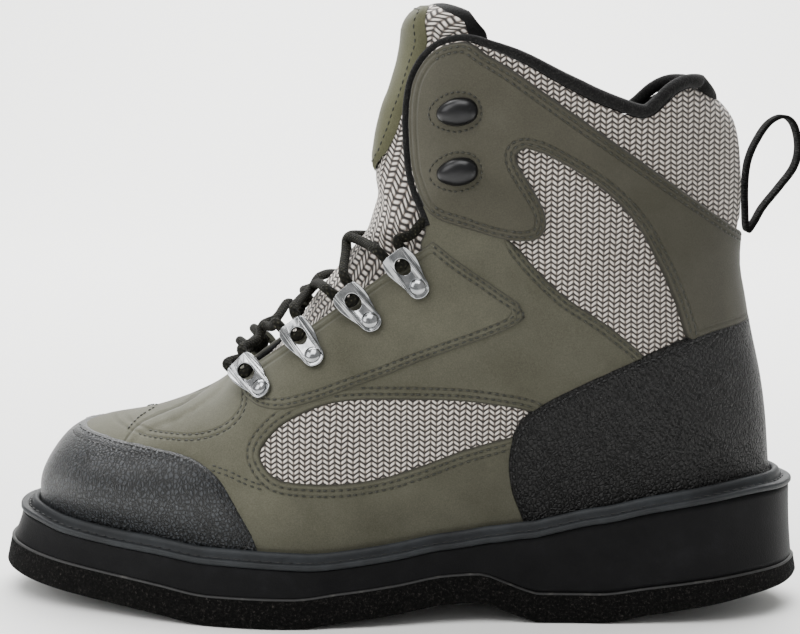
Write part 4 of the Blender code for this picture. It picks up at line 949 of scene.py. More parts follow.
# Lace facings and ankle band
# Two more nubuck panels laid over the quarter: a facing under the lace rings on each side, and a band
# round the ankle that carries the hooks. Both are folded at the edge and sewn down with two rows.
facing_finish = nubuck("nubuck_facing", GREEN, [("edge", PANEL_ROWS)])
band_finish = nubuck("nubuck_band", BAND_SHADED_GREEN, [("edge", BAND_ROWS)])
facing = sheet_within(lambda x, z: depth_in(facing_line, x, z), EDGE_LEVELS)
make_piece("lace_facings_dressed", raised(facing, FACING_THICKNESS, ROLL), [facing_finish],
           ["lace_facing_outer", "lace_facing_inner"])


def band_depth(x, z):
    """Depth inside the band, which runs on a little under the counter."""
    return np.minimum(depth_in(band_line, x, z), BAND_UNDER_RUN - depth_in(counter_line, x, z))


band = sheet_within(band_depth, EDGE_LEVELS)
make_piece("ankle_band_dressed", raised(band, FACING_THICKNESS, ROLL), [band_finish],
           ["ankle_band"])

# Toe cap and heel counter
# Black rubber-coated leather with a raised pebble grain, moulded stiff over the toes and the heel,
# with a soft blue-grey shine on its crests, from a clear coat and from painted sheen on the toe cap.
PEBBLE_BEND = 0.0009


def grained_leather(name, tones, rows, coat):
    """Coated leather: pebbles 1.5 mm across, painted darker in the lines between them as painted shade
    and paler on their crests as painted sheen, and a thin clear coat that shines on their crests. Rows are
    the distances of stitches from the edge."""
    finish, tree, shader = new_finish(name, Roughness=0.5, Coat_Weight=coat, Coat_Roughness=0.4,
                                      Specular_IOR_Level=0.3)
    where = place_on(tree)
    bend = add_node(tree, "ShaderNodeTexNoise", {"Vector": where, "Scale": 500.0, "Detail": 2.0})
    bent = add_node(tree, "ShaderNodeVectorMath",
                    {0: bend.outputs["Color"], 1: (PEBBLE_BEND,) * 3, 2: where},
                    operation="MULTIPLY_ADD")
    taller = add_node(tree, "ShaderNodeVectorMath", {0: bent.outputs["Vector"], 1: (1.0, 1.0, 0.72)},
                      operation="MULTIPLY")
    pebble = add_node(tree, "ShaderNodeTexVoronoi", {"Vector": taller.outputs["Vector"], "Scale": 690.0},
                      feature="DISTANCE_TO_EDGE")
    top = ranged(tree, pebble.outputs["Distance"], 0.0, 0.22, 0.0, 1.0, smooth=True)
    height = math_node(tree, "MULTIPLY_ADD", noise_of(tree, where, 1500.0, 3.0), 0.3, top)
    edge = add_node(tree, "ShaderNodeAttribute", attribute_name="edge").outputs["Fac"]
    for distance in rows:
        off = math_node(tree, "ABSOLUTE", math_node(tree, "SUBTRACT", edge, distance))
        dip = ranged(tree, off, 0.0, FIRM_GROOVE, 1.0, 0.0, smooth=True)
        height = math_node(tree, "MULTIPLY_ADD", dip, -0.6, height)
    # Painted shade in the lines between pebbles and painted sheen on their crests
    paint(tree, shader, top, [(0.0, tones[0]), (0.5, tones[1]), (1.0, tones[2])])
    bump_of(tree, shader, height, 0.0018)
    return finish


# The toe cap's crests are painted a paler blue-grey as painted sheen, besides its clear coat; the heel
# counter, of the same leather, has almost no painted sheen and little coat, and is nearly black
cap_finish = grained_leather("grained_toe_cap", ("#08090a", "#1f2224", "#2b2e32"), PANEL_ROWS, 0.35)
counter_finish = grained_leather("grained_counter", ("#070707", "#0c0b0b", "#0f0e0e"), COUNTER_ROWS, 0.04)
CAP_RAISE = CAP_THICKNESS + 0.0006
cap = sheet_within(lambda x, z: depth_in(cap_line, x, z), EDGE_LEVELS)
make_piece("toe_cap_dressed", raised(cap, CAP_RAISE, ROLL), [cap_finish], ["toe_cap"])
counter = sheet_within(lambda x, z: depth_in(counter_line, x, z), EDGE_LEVELS)
make_piece("heel_counter_dressed", raised(counter, CAP_RAISE, ROLL), [counter_finish],
           ["heel_counter"])

# Stitching
# Lock stitches of waxed thread, 1.9 mm long every 2.9 mm, each lying a little in its groove: dark
# olive on the nubuck and black on the leather and the welt.
STITCH_PITCH = 0.0029
STITCH_LENGTH = 0.0019
STITCH_RADIUS = 0.00040
WELT_STITCH_PITCH = 0.0042
WELT_STITCH_LENGTH = 0.0034
FINE_STEP = 0.0006
LEAST_FACING = 0.02
LONGEST_GAP = 0.012
STITCH_CLEAR = 0.0002
ROW_SLACK = 0.0004
PLUG_ROW = 0.0018
PLUG_RISE = VAMP_THICKNESS + 0.0003
RAY_START = 0.2
TOE_SEAM = [(0.250, 0.163), (0.276, 0.155), (0.300, 0.143), (0.322, 0.134)]


def beside(line, amount):
    """Open side line moved to its left by an amount."""
    moved = []
    for i, (x, z) in enumerate(line):
        run = Vector(line[min(i + 1, len(line) - 1)]) - Vector(line[max(i - 1, 0)])
        run.normalize()
        moved.append((x - run.y * amount, z + run.x * amount))
    return moved


def evenly(line, pitch):
    """Places every pitch along a line, the first half a pitch from its start."""
    line = [Vector(p) for p in line]
    walked, wanted, found = 0.0, pitch / 2, []
    for one, two in zip(line, line[1:]):
        length = (two - one).length
        while length > 0 and walked + length >= wanted:
            found.append(one + (two - one) * ((wanted - walked) / length))
            wanted += pitch
        walked += length
    return found


def skin_over(x, z, side):
    """Point and outward direction of the skin, seen from one side."""
    found, normal, _, _ = skin_tree.ray_cast(Vector((x, side * RAY_START, z)), Vector((0.0, -side, 0.0)))
    if found is None:
        return None, None
    return found, normal if normal.y * side > 0 else -normal


def on_skin(line, side, rise):
    """Side line laid on one side of the skin, in unbroken runs of (point, direction)."""
    runs = [[]]
    for x, z in line:
        found, normal = skin_over(x, z, side)
        hit = found is not None and normal.y * side >= LEAST_FACING
        if not hit or (runs[-1] and (found - runs[-1][-1][0]).length > LONGEST_GAP):
            runs.append([])
        if hit:
            runs[-1].append((found + normal * rise, normal))
    return [run for run in runs if len(run) > 1]


def depth_at(outline, x, z):
    """How deep one place lies inside a closed side outline."""
    return float(depth_in(outline, np.array([x]), np.array([z]))[0])


# Each stitch is its place, the way it runs, the way it faces and its length
stitches = {"olive": [], "black": []}


def sew(line, rise, thread="olive", keep=None):
    """Adds stitches along a side line on both sides of the boot, where keep allows them."""
    fine = [tuple(p) for p in evenly(line, FINE_STEP)]
    for side in (-1, 1):
        for run in on_skin(fine, side, rise):
            points, directions = [p for p, n in run], [n for p, n in run]
            walked, wanted = 0.0, STITCH_PITCH / 2
            for i in range(1, len(points)):
                walked += (points[i] - points[i - 1]).length
                while walked >= wanted:
                    if keep is None or keep(points[i].x, points[i].z):
                        ahead = (points[min(i + 2, len(points) - 1)] - points[max(i - 2, 0)]).normalized()
                        stitches[thread].append((points[i], ahead, directions[i], STITCH_LENGTH))
                    wanted += STITCH_PITCH


def outside_of(*outlines):
    """Keeps stitches that lie outside all these outlines."""
    def keep(x, z):
        return all(depth_at(line, x, z) < -STITCH_CLEAR for line in outlines)
    return keep


for distance in WINDOW_ROWS:
    row = grown(window_line, distance)
    if depth_at(window_line, *row[0]) > 0:
        row = grown(window_line, -distance)
    sew(row + row[:1], VAMP_THICKNESS, keep=outside_of(facing_line, cap_line, counter_line))
for distance in DOUBLE_ROWS:
    sew(beside(side_line(VAMP_U), distance), VAMP_THICKNESS, keep=outside_of(cap_line, opening_line))
sew(beside(side_line(PLUG_SEAM), PLUG_ROW), PLUG_RISE, keep=outside_of(cap_line, opening_line))
for distance in DOUBLE_ROWS:
    sew(beside(side_line(TOE_SEAM), distance), VAMP_THICKNESS, keep=outside_of(cap_line))


def sew_inside(edge, outline, distances, rise, thread="olive", keep=None):
    """Rows at distances from part of an outline's edge, on the side that lies inside it."""
    for distance in distances:
        row = beside(edge, distance)
        if depth_at(outline, *row[len(row) // 2]) < 0:
            row = beside(edge, -distance)
        within = [spot for spot in row if depth_at(outline, *spot) > distance - ROW_SLACK]
        if len(within) > 1:
            sew(within, rise, thread, keep)


sew_inside(side_line(FACING_EDGE, 8), facing_line, PANEL_ROWS, FACING_THICKNESS, keep=outside_of(band_line))
sew_inside(side_line(BAND_FRONT_EDGE, 8), band_line, BAND_ROWS, FACING_THICKNESS,
           keep=outside_of(counter_line))
sew_inside(side_line(BAND_TOP_EDGE + THROAT_HIGH[:-4:-1]), band_line, BAND_ROWS, FACING_THICKNESS)
for distance in PANEL_ROWS:
    row = beside(side_line(ANKLE_WINDOW_EDGE), -distance)
    if depth_at(above_quarter_line, *row[9]) > 0:
        row = beside(side_line(ANKLE_WINDOW_EDGE), distance)
    sew(row, VAMP_THICKNESS, keep=outside_of(counter_line, band_line, facing_line))
sew_inside(side_line(CAP_EDGE), cap_line, PANEL_ROWS, CAP_RAISE, "black")
sew_inside(side_line(COUNTER_EDGE), counter_line, COUNTER_ROWS, CAP_RAISE, "black")
welt_row = grown(feather_line, groove_from + GROOVE_WIDTH / 2)
welt_places = [(x, y, welt_top(x) - GROOVE_DEPTH * 0.15) for x, y in welt_row + welt_row[:1]]
upright = Vector((0.0, 0.0, 1.0))
for point in evenly(welt_places, WELT_STITCH_PITCH):
    near = min(range(len(welt_row)), key=lambda i: (Vector(welt_row[i]) - point.xy).length)
    run = Vector(welt_row[(near + 1) % len(welt_row)]) - Vector(welt_row[near - 1])
    stitches["black"].append((point, run.to_3d().normalized(), upright, WELT_STITCH_LENGTH))


def thread_finish(name, dark, light):
    """Waxed bonded thread: smooth, with a low shine."""
    finish, tree, shader = new_finish(name, Roughness=0.5)
    where = place_on(tree)
    paint(tree, shader, noise_of(tree, where, 900.0, 2.0), [(0.35, dark), (0.65, light)])
    return finish


def thread_mesh(rows):
    """One mesh of all stitches of a thread: a small capsule for each, turned along its row."""
    capsule = bmesh.new()
    bmesh.ops.create_uvsphere(capsule, u_segments=6, v_segments=4, radius=1.0)
    points = np.array([v.co[:] for v in capsule.verts])
    faces = [[v.index for v in f.verts] for f in capsule.faces]
    capsule.free()
    all_points, all_faces = [], []
    for point, ahead, normal, length in rows:
        across = normal.cross(ahead).normalized()
        over = ahead.cross(across)
        turned = np.array([across[:], over[:], ahead[:]])
        sized = points * (STITCH_RADIUS, STITCH_RADIUS * 0.9, length / 2)
        offset = len(all_points)
        all_points.extend((sized @ turned + np.array(point[:])).tolist())
        all_faces.extend([[i + offset for i in face] for face in faces])
    mesh = bpy.data.meshes.new("stitches")
    mesh.from_pydata(all_points, [], all_faces)
    bm = bmesh.new()
    bm.from_mesh(mesh)
    bpy.data.meshes.remove(mesh)
    return bm


# Tongue
# A padded tongue of the same zigzag mesh with a thick black lining that shows behind its top. An oval
# patch of plain nubuck is sewn to its front.
TONGUE_THICKNESS = 0.0065
TONGUE_REACH = 0.0320
TONGUE_CLEAR = 0.0014
TONGUE_SWELL = 0.0020
TONGUE_EDGE = 0.0050
TONGUE_RAMP = 0.0080
TONGUE_ROWS = 110
TONGUE_SIDES = 56
TOP_SHARE = 0.05
TONGUE_SQUARE = 0.55
TONGUE_FLAT = 0.6
DENT_PLACE = 12.3
DENT_WIDTH = 0.5
DENT_DEPTH = 0.0012
LAST_PLACE = len(SECTIONS) - 1.0
TongueRow = namedtuple("TongueRow", "place reach")
TONGUE = [
    TongueRow(5.6, 0.31), TongueRow(6.4, 0.41), TongueRow(7.0, 0.50), TongueRow(8.0, 0.66),
    TongueRow(9.0, 0.75), TongueRow(10.0, 0.84), TongueRow(11.0, 0.91), TongueRow(12.0, 0.95),
    TongueRow(13.0, 0.98), TongueRow(15.0, 1.00), TongueRow(17.0, 0.98), TongueRow(19.0, 0.96),
    TongueRow(21.0, 0.96), TongueRow(22.0, 0.99), TongueRow(23.0, 0.88), TongueRow(24.0, 0.64),
    TongueRow(25.0, 0.26),
]
PatchRow = namedtuple("PatchRow", "place half")
PATCH = [
    PatchRow(13.3, 0.02), PatchRow(14.0, 0.20), PatchRow(15.0, 0.30), PatchRow(17.0, 0.37),
    PatchRow(19.0, 0.38), PatchRow(21.0, 0.38), PatchRow(22.0, 0.41), PatchRow(23.0, 0.43),
    PatchRow(23.6, 0.37), PatchRow(24.0, 0.22),
]


def reach_at(place):
    """Half the tongue's width at a place, measured over the skin."""
    return TONGUE_REACH * steady(column(TONGUE, "reach"), place_at(column(TONGUE, "place"), place))


def ridge_point(place, across):
    """Point of the skin near its ridge: across runs from -1 to 1 over the tongue's width."""
    low, high = section_point(place, 0.0, 1), section_point(place, 1.0, 1)
    length = math.hypot(high.x - low.x, high.z - low.z)
    t = 1.0 - min(reach_at(place) / length, 1.0) * across * across
    return section_point(place, t, -1 if across < 0 else 1)


def ridge_normal(place, across):
    """Outward direction of the skin there."""
    ahead = ridge_point(min(place + 0.02, LAST_PLACE), across)
    behind = ridge_point(place - 0.02, across)
    over = ridge_point(place, across + 0.02) - ridge_point(place, across - 0.02)
    return over.cross(ahead - behind).normalized() * -1.0


def tongue_point(place, across):
    """Point of the tongue's front, under the wall at the throat's edges and swelling out of it."""
    found = ridge_point(place, across)
    depth = depth_at(opening_line, found.x, found.z)
    share = min(max((depth - TONGUE_EDGE) / TONGUE_RAMP, 0.0), 1.0)
    under = UPPER_WALL + TONGUE_CLEAR
    out = (under + TONGUE_SWELL) * eased(share) - under
    return found + ridge_normal(place, across) * out


def squared(value, power):
    """Sine or cosine drawn out towards the corners, which turns a round into a pill."""
    return math.copysign(abs(value) ** power, value)


tongue_places = [TONGUE[0].place + (LAST_PLACE - TONGUE[0].place) * i / TONGUE_ROWS
                 for i in range(TONGUE_ROWS + 1)]


def tongue_ring(u, v):
    """Pill-shaped ring of the tongue: u goes round it, v from inside the vamp to its top."""
    place = tongue_places[round(v * TONGUE_ROWS)]
    angle = 2 * math.pi * u
    c, s = math.cos(angle), math.sin(angle)
    across = squared(c, TONGUE_SQUARE)
    deep = TONGUE_THICKNESS * (1 - squared(s, TONGUE_FLAT)) / 2
    from_top = (1 - v) / TOP_SHARE
    if from_top < 1:
        bow = math.sqrt(1 - (1 - from_top) ** 2)
        deep = TONGUE_THICKNESS / 2 + (deep - TONGUE_THICKNESS / 2) * bow
    dent = DENT_DEPTH * math.exp(-((place - DENT_PLACE) / DENT_WIDTH) ** 2) if s > 0 else 0.0
    return tongue_point(place, across) - ridge_normal(place, across) * (deep + dent)


tongue = mapped(TONGUE_SIDES, TONGUE_ROWS, tongue_ring)
unrolled = tongue.loops.layers.uv["unrolled"]
# Heights of the line where the mesh ends and the lining begins, and how far back it is there
LINING_LEVELS = (0.0, 0.80, 0.85, 0.916, 0.963, 0.989, 1.03)
LINING_PLACES = (1.5, 0.615, 0.590, 0.5867, 0.5757, 0.5417, 0.50)
lined = tongue.verts.layers.float.new("lined")
for v in tongue.verts:
    level = (v.co.z - FOOT_LEVEL) / UPPER_HEIGHT
    v[lined] = v.co.x - along(float(np.interp(level, LINING_LEVELS, LINING_PLACES)))
cut_along(tongue, lined, 0.0)
for face in tongue.faces:
    middle = sum(loop[unrolled].uv.x for loop in face.loops) / len(face.loops)
    if middle > 0.52 or sum(v[lined] for v in face.verts) > 0:
        face.material_index = 1
ridge = [ridge_point(place, 0.0) for place in tongue_places]
walked = [0.0]
for one, two in zip(ridge, ridge[1:]):
    walked.append(walked[-1] + (two - one).length)
for face in tongue.faces:
    for loop in face.loops:
        u, v = loop[unrolled].uv
        place = TONGUE[0].place + (LAST_PLACE - TONGUE[0].place) * v
        c = math.cos(2 * math.pi * u)
        loop[unrolled].uv = (squared(c, TONGUE_SQUARE) * reach_at(place),
                             float(np.interp(v * TONGUE_ROWS, range(TONGUE_ROWS + 1), walked)))
bmesh.ops.recalc_face_normals(filled(tongue), faces=tongue.faces)
# The same mesh, laid out along and across the tongue
tongue_finish = zigzag_mesh("tongue_mesh_knit", "X", "Y", "unrolled")
tongue_piece = make_piece("tongue_dressed", tongue, [tongue_finish, lining_finish],
                          ["tongue"])

# The patch's nubuck is a little yellower than the panels'
patch_finish = nubuck("nubuck_patch", ("#45452f", "#53533c", "#5f5f48"), edge_shadowed=False)
PATCH_ROWS = 40
PATCH_COLUMNS = 20
PATCH_LIFT = 0.0020
PATCH_CLEAR = 0.0002
RIM_ACROSS = 0.10
RIM_ALONG = 0.05
RING_ROWS = 40
RING_COLUMNS = 10


def patch_place(u, v):
    """Place along the boot and share across the tongue of a point of the patch."""
    place = PATCH[0].place + (PATCH[-1].place - PATCH[0].place) * v
    half = steady(column(PATCH, "half"), place_at(column(PATCH, "place"), place))
    return place, half * (2 * u - 1)


def patch_point(u, v):
    """Point of the patch, which stands up off the tongue with a rounded edge."""
    place, across = patch_place(u, v)
    edge = min(min(u, 1 - u) * 8, v * 9, (1 - v) * 9, 1.0)
    out = PATCH_LIFT * math.sqrt(max(1 - (1 - edge) ** 2, 0.0)) + PATCH_CLEAR
    return tongue_point(place, across) + ridge_normal(place, across) * out


patch = mapped(PATCH_COLUMNS, PATCH_ROWS, patch_point)
make_piece("tongue_patch_dressed", patch, [patch_finish], ["tongue_patch"])
rim_wide, rim_tall = 1 - 2 * RIM_ACROSS, 1 - 2 * RIM_ALONG
patch_ring = [(RIM_ACROSS, RIM_ALONG + rim_tall * k / RING_ROWS) for k in range(RING_ROWS + 1)]
patch_ring += [(RIM_ACROSS + rim_wide * k / RING_COLUMNS, 1 - RIM_ALONG) for k in range(RING_COLUMNS + 1)]
patch_ring += [(1 - u, 1 - v) for u, v in patch_ring]
ring_points = [patch_point(u, v) for u, v in patch_ring]
for point in evenly(ring_points, STITCH_PITCH):
    near = min(range(len(ring_points)), key=lambda i: (ring_points[i] - point).length)
    ahead = (ring_points[(near + 1) % len(ring_points)] - ring_points[near - 1]).normalized()
    stitches["olive"].append((point, ahead, ridge_normal(*patch_place(*patch_ring[near])), STITCH_LENGTH))

# Collar binding
# A tube of black padded fabric sewn over the edge of throat and collar, thin in front and thick
# round the back, where the lining rolls over the top.
BINDING_FRONT = 0.0013
BINDING_BACK = 0.0026
BINDING_SEAT = 0.0004
BINDING_PROBES = (0.0010, 0.0030, 0.0060, 0.0100)
BINDING_TURN = 0.58
BINDING_SWELL = 0.14
BINDING_BACK_DEPTH = 0.0070
BINDING_DROP = 0.0075
TURN_STEPS = 16
BOUND_EDGE = THROAT_NECK[3:] + THROAT_HIGH[1:] + COLLAR_EDGE[1:-3]


def binding_half(side):
    """Middle line of the binding and its radius along one side."""
    line = flowing(BOUND_EDGE, 6)
    run = []
    for i, (a, b) in enumerate(line):
        ahead, behind = line[min(i + 1, len(line) - 1)], line[max(i - 1, 0)]
        away = Vector((-(ahead[1] - behind[1]) * UPPER_HEIGHT, 0.0,
                       (ahead[0] - behind[0]) * FOOT_LENGTH)).normalized()
        back = min(max(a - BINDING_TURN, 0.0) / BINDING_SWELL, 1.0)
        radius = BINDING_FRONT + (BINDING_BACK - BINDING_FRONT) * back
        for probe in BINDING_PROBES:
            found, normal = skin_over(along(a) - away.x * probe, up(b) - away.z * probe, side)
            if found is not None:
                break
        middle = Vector((along(a), found.y, up(b)))
        inwards = normal.y * back * UPPER_WALL / 2
        run.append((middle + away * (radius + BINDING_SEAT) - Vector((0.0, inwards, 0.0)), radius))
    return run


def tube_along(points, radii, sides):
    """Round tube along points, its UV in metres round and along it, and its ring centres."""
    points = [Vector(p) for p in points]
    tangents = [(points[min(i + 1, len(points) - 1)] - points[max(i - 1, 0)]).normalized()
                for i in range(len(points))]
    normal = tangents[0].orthogonal().normalized()
    frames = []
    for tangent in tangents:
        normal = (normal - tangent * normal.dot(tangent)).normalized()
        frames.append((normal.copy(), tangent.cross(normal)))
    walked = [0.0]
    for one, two in zip(points, points[1:]):
        walked.append(walked[-1] + (two - one).length)
    count = len(points) - 1

    def at(u, v):
        i = round(v * count)
        a, b = frames[i]
        angle = 2 * math.pi * u
        return points[i] + (a * math.cos(angle) + b * math.sin(angle)) * radii[i]

    bm = mapped(sides, count, at)
    unrolled = bm.loops.layers.uv["unrolled"]
    for face in bm.faces:
        for loop in face.loops:
            u, v = loop[unrolled].uv
            loop[unrolled].uv = (u * 2 * math.pi * radii[0], walked[round(v * count)])
    return filled(bm), [tuple(p) for p in points]


# Binding: dull black knit with a faint twill
binding_finish, tree, shader = new_finish("binding_fabric", Roughness=0.95, Sheen_Weight=0.08,
                                          Specular_IOR_Level=0.15)
around = add_node(tree, "ShaderNodeUVMap", uv_map="unrolled").outputs["UV"]
twill = noise_of(tree, around, 2200.0, 1.0)
where = place_on(tree)
nap = noise_of(tree, where, 1300.0, 3.0)
mixed = math_node(tree, "MULTIPLY_ADD", twill, 0.5, nap)
paint(tree, shader, mixed, [(0.45, "#060606"), (0.75, "#101010"), (1.0, "#242322")])
bump_of(tree, shader, mixed, 0.0003)
halves = [binding_half(-1), binding_half(1)]
corner = halves[0][-1][0]
back_x = max(p.x for p, r in halves[0]) + BINDING_BACK_DEPTH
turn = []
for k in range(1, TURN_STEPS):
    angle = math.pi * k / TURN_STEPS
    turn.append((Vector((corner.x + (back_x - corner.x) * math.sin(angle), corner.y * math.cos(angle),
                         corner.z - BINDING_DROP * math.sin(angle))), BINDING_BACK))
run = halves[0] + turn + halves[1][::-1]
binding, _ = tube_along([p for p, r in run], [r for p, r in run], 14)
binding_piece = make_piece("collar_binding_dressed", binding, [binding_finish],
                           ["collar_binding"])

# Lace rings and rivets
# Each ring is stamped from steel and chrome plated: a square nose bar and two side bars round a hole,
# bent up off the facing, and a round foot under a domed rivet.
RING_THICKNESS = 0.0016
RING_EDGE = 0.0004
RING_FLAT = 0.0045
RING_BEND = 0.0095
RING_RISE = 0.0044
RING_HOLE = 0.0037
HOLE_AHEAD = 0.0095
RIVET_RADIUS = 0.0034
RIVET_HEIGHT = 0.0020
HARDWARE_LIFT = FACING_THICKNESS + 0.0004
RingRow = namedtuple("RingRow", "along up hole_along hole_up")
RINGS = [RingRow(0.320, 0.296, 0.299, 0.318), RingRow(0.387, 0.358, 0.370, 0.384),
         RingRow(0.460, 0.423, 0.440, 0.449), RingRow(0.522, 0.487, 0.504, 0.520)]
# Outline of the plate in millimetres from the rivet
RING_OUTLINE = [
    (15.4, -5.0), (15.9, -3.8), (15.9, 3.8), (15.4, 5.0), (13.2, 6.2), (9.5, 6.5), (5.0, 5.4),
    (2.0, 4.6), (-1.0, 4.3), (-3.6, 3.1), (-4.8, 0.0), (-3.6, -3.1), (-1.0, -4.3), (2.0, -4.6),
    (5.0, -5.4), (9.5, -6.5), (13.2, -6.2),
]

# Chrome plate: a bright grey mirror, slightly smeared
chrome_finish, tree, shader = new_finish("chrome_plate", Metallic=1.0)
where = place_on(tree)
smear = noise_of(tree, where, 300.0, 4.0)
paint(tree, shader, smear, [(0.35, "#8b8d8f"), (0.65, "#aeafb0")])
tree.links.new(ranged(tree, smear, 0.0, 1.0, 0.10, 0.22), shader.inputs["Roughness"])


def frame_on(point, normal, towards):
    """Matrix whose X points along the skin towards a place and whose Z stands off it."""
    ahead = towards - point
    ahead = (ahead - normal * ahead.dot(normal)).normalized()
    turned = Matrix((ahead, normal.cross(ahead), normal)).transposed()
    return Matrix.Translation(point) @ turned.to_4x4()


def seat_of(row, side):
    """Matrix of a piece of hardware, on the skin and turned towards its hole."""
    point, normal = skin_over(along(row.along), up(row.up), side)
    towards, _ = skin_over(along(row.hole_along), up(row.hole_up), side)
    return frame_on(point, normal, towards)


def ring_mesh():
    """Flat ring with its hole, cut from a plate with rounded edges, then bent up at the nose."""
    plate = bpy.data.curves.new("ring_plate", "CURVE")
    plate.dimensions = "2D"
    plate.fill_mode = "BOTH"
    plate.extrude = RING_THICKNESS / 2 - RING_EDGE
    plate.bevel_depth = RING_EDGE
    plate.bevel_resolution = 2
    outer = flowing([(x / 1000, y / 1000) for x, y in RING_OUTLINE], 3, closed=True)
    angles = [math.pi * k / 16 for k in range(32)]
    hole = [(HOLE_AHEAD + RING_HOLE * 1.06 * math.cos(a), RING_HOLE * math.sin(a)) for a in angles]
    for outline in (grown(outer, -RING_EDGE), grown(hole[::-1], RING_EDGE)):
        spline = plate.splines.new("POLY")
        spline.points.add(len(outline) - 1)
        spline.use_cyclic_u = True
        for spot, (x, y) in zip(spline.points, outline):
            spot.co = (x, y, 0.0, 1.0)
    shown = bpy.data.objects.new("ring_plate", plate)
    bpy.context.scene.collection.objects.link(shown)
    made = bpy.data.meshes.new_from_object(shown.evaluated_get(bpy.context.evaluated_depsgraph_get()))
    bpy.data.objects.remove(shown, do_unlink=True)
    bm = bmesh.new()
    bm.from_mesh(made)
    bpy.data.meshes.remove(made)
    bmesh.ops.remove_doubles(bm, verts=bm.verts, dist=MERGE_DISTANCE)
    bmesh.ops.recalc_face_normals(bm, faces=bm.faces)
    for v in bm.verts:
        share = min(max((v.co.x - RING_FLAT) / RING_BEND, 0.0), 1.0)
        v.co.z += RING_THICKNESS / 2 + RING_RISE * eased(share)
    return bm


def turned_dome(radius, height, profile, sides=32):
    """Round dome turned from a profile of (share of the radius, share of the height) points."""
    last = len(profile) - 1

    def at(u, v):
        wide, tall = profile[round(v * last)]
        angle = 2 * math.pi * u
        return Vector((radius * wide * math.cos(angle), radius * wide * math.sin(angle), height * tall))

    return mapped(sides, last, at)


RIVET_PROFILE = [
    (0.98, -0.2), (1.0, 0.0), (1.0, 0.18), (0.96, 0.34), (0.88, 0.52), (0.74, 0.72), (0.55, 0.88),
    (0.32, 0.97), (0.0, 1.0),
]


def joined(parts):
    """One mesh of several, each moved by its matrix."""
    whole = bmesh.new()
    for bm, matrix in parts:
        bm.transform(matrix)
        mesh = bpy.data.meshes.new("part")
        bm.to_mesh(mesh)
        bm.free()
        whole.from_mesh(mesh)
        bpy.data.meshes.remove(mesh)
    return whole


for side, word in ((-1, "outer"), (1, "inner")):
    rings, rivets = [], []
    for row in RINGS:
        seat = seat_of(row, side) @ Matrix.Translation((0.0, 0.0, HARDWARE_LIFT))
        rings.append((ring_mesh(), seat))
        rivets.append((turned_dome(RIVET_RADIUS, RIVET_HEIGHT, RIVET_PROFILE),
                       seat @ Matrix.Translation((0.0, 0.0, RING_THICKNESS))))
    piece = make_piece("lace_rings_" + word, joined(rings), [chrome_finish],
                       [f"lace_ring_{word}_{n}" for n in (1, 2, 3, 4)])
    piece.modifiers.new("even", "WEIGHTED_NORMAL")
    make_piece("rivets_" + word, joined(rivets), [chrome_finish],
               [f"rivet_{word}_{n}" for n in (1, 2, 3, 4)])

# Speed hooks
# Two hooks moulded in glossy black plastic on each side, teardrop domes with their noses towards the
# throat, each sitting in a stitched oval surround.
HOOK_LENGTH = 0.0168
HOOK_WIDTH = 0.0110
HOOK_HEIGHT = 0.0044
HOOK_LEAN = 0.0006
SURROUND_LENGTH = 0.0206
SURROUND_WIDTH = 0.0152
SURROUND_PITCH = 0.0024
SURROUND_RISE = FACING_THICKNESS + 0.0001
SURROUND_STEPS = 120
HOOKS = [RingRow(0.570, 0.803, 0.545, 0.797), RingRow(0.571, 0.697, 0.546, 0.690)]
# Hook plastic: glossy black with fine scuffs
hook_finish, tree, shader = new_finish("glossy_hook_plastic", Roughness=0.3, Specular_IOR_Level=0.35)
where = place_on(tree)
scuff = noise_of(tree, where, 500.0, 5.0)
paint(tree, shader, scuff, [(0.35, "#060607"), (0.7, "#0e0e11")])
HOOK_PROFILE = [
    (1.0, -0.1), (1.0, 0.12), (0.97, 0.35), (0.90, 0.56), (0.78, 0.75), (0.60, 0.90), (0.35, 0.98),
    (0.0, 1.0),
]


def teardrop(angle, length, width):
    """Point of a teardrop outline, with its narrow end ahead."""
    c, s = math.cos(angle), math.sin(angle)
    narrow = 1.0 - 0.24 * max(c, 0.0)
    return length / 2 * squared(c, 0.85), width / 2 * squared(s, 0.85) * narrow


def hook_mesh():
    """Teardrop dome, leaning back a little."""
    last = len(HOOK_PROFILE) - 1

    def at(u, v):
        wide, tall = HOOK_PROFILE[round(v * last)]
        x, y = teardrop(2 * math.pi * u, HOOK_LENGTH, HOOK_WIDTH)
        return Vector((x * wide - HOOK_LEAN * tall, y * wide, HOOK_HEIGHT * tall))

    return mapped(40, last, at)


for side, word in ((-1, "outer"), (1, "inner")):
    hooks = []
    for row in HOOKS:
        seat = seat_of(row, side) @ Matrix.Translation((0.0, 0.0, FACING_THICKNESS))
        hooks.append((hook_mesh(), seat))
        ring = []
        for k in range(SURROUND_STEPS):
            x, y = teardrop(2 * math.pi * k / SURROUND_STEPS, SURROUND_LENGTH, SURROUND_WIDTH)
            spot = seat @ Vector((x, y, 0.0))
            found, normal = skin_over(spot.x, spot.z, side)
            ring.append((found + normal * SURROUND_RISE, normal))
        points = [p for p, n in ring] + [ring[0][0]]
        for point in evenly(points, SURROUND_PITCH):
            near = min(range(SURROUND_STEPS), key=lambda i: (points[i] - point).length)
            ahead = (points[(near + 1) % SURROUND_STEPS] - points[near - 1]).normalized()
            stitches["olive"].append((point, ahead, ring[near][1], STITCH_LENGTH * 0.85))
    make_piece("hooks_" + word, joined(hooks), [hook_finish],
               [f"hook_{word}_{n}" for n in (1, 2)])

olive_thread = thread_finish("olive_thread", "#15160e", "#26271c")
black_thread = thread_finish("black_thread", "#060606", "#101011")
make_piece("olive_stitches", thread_mesh(stitches["olive"]), [olive_thread])
make_piece("black_stitches", thread_mesh(stitches["black"]), [black_thread])

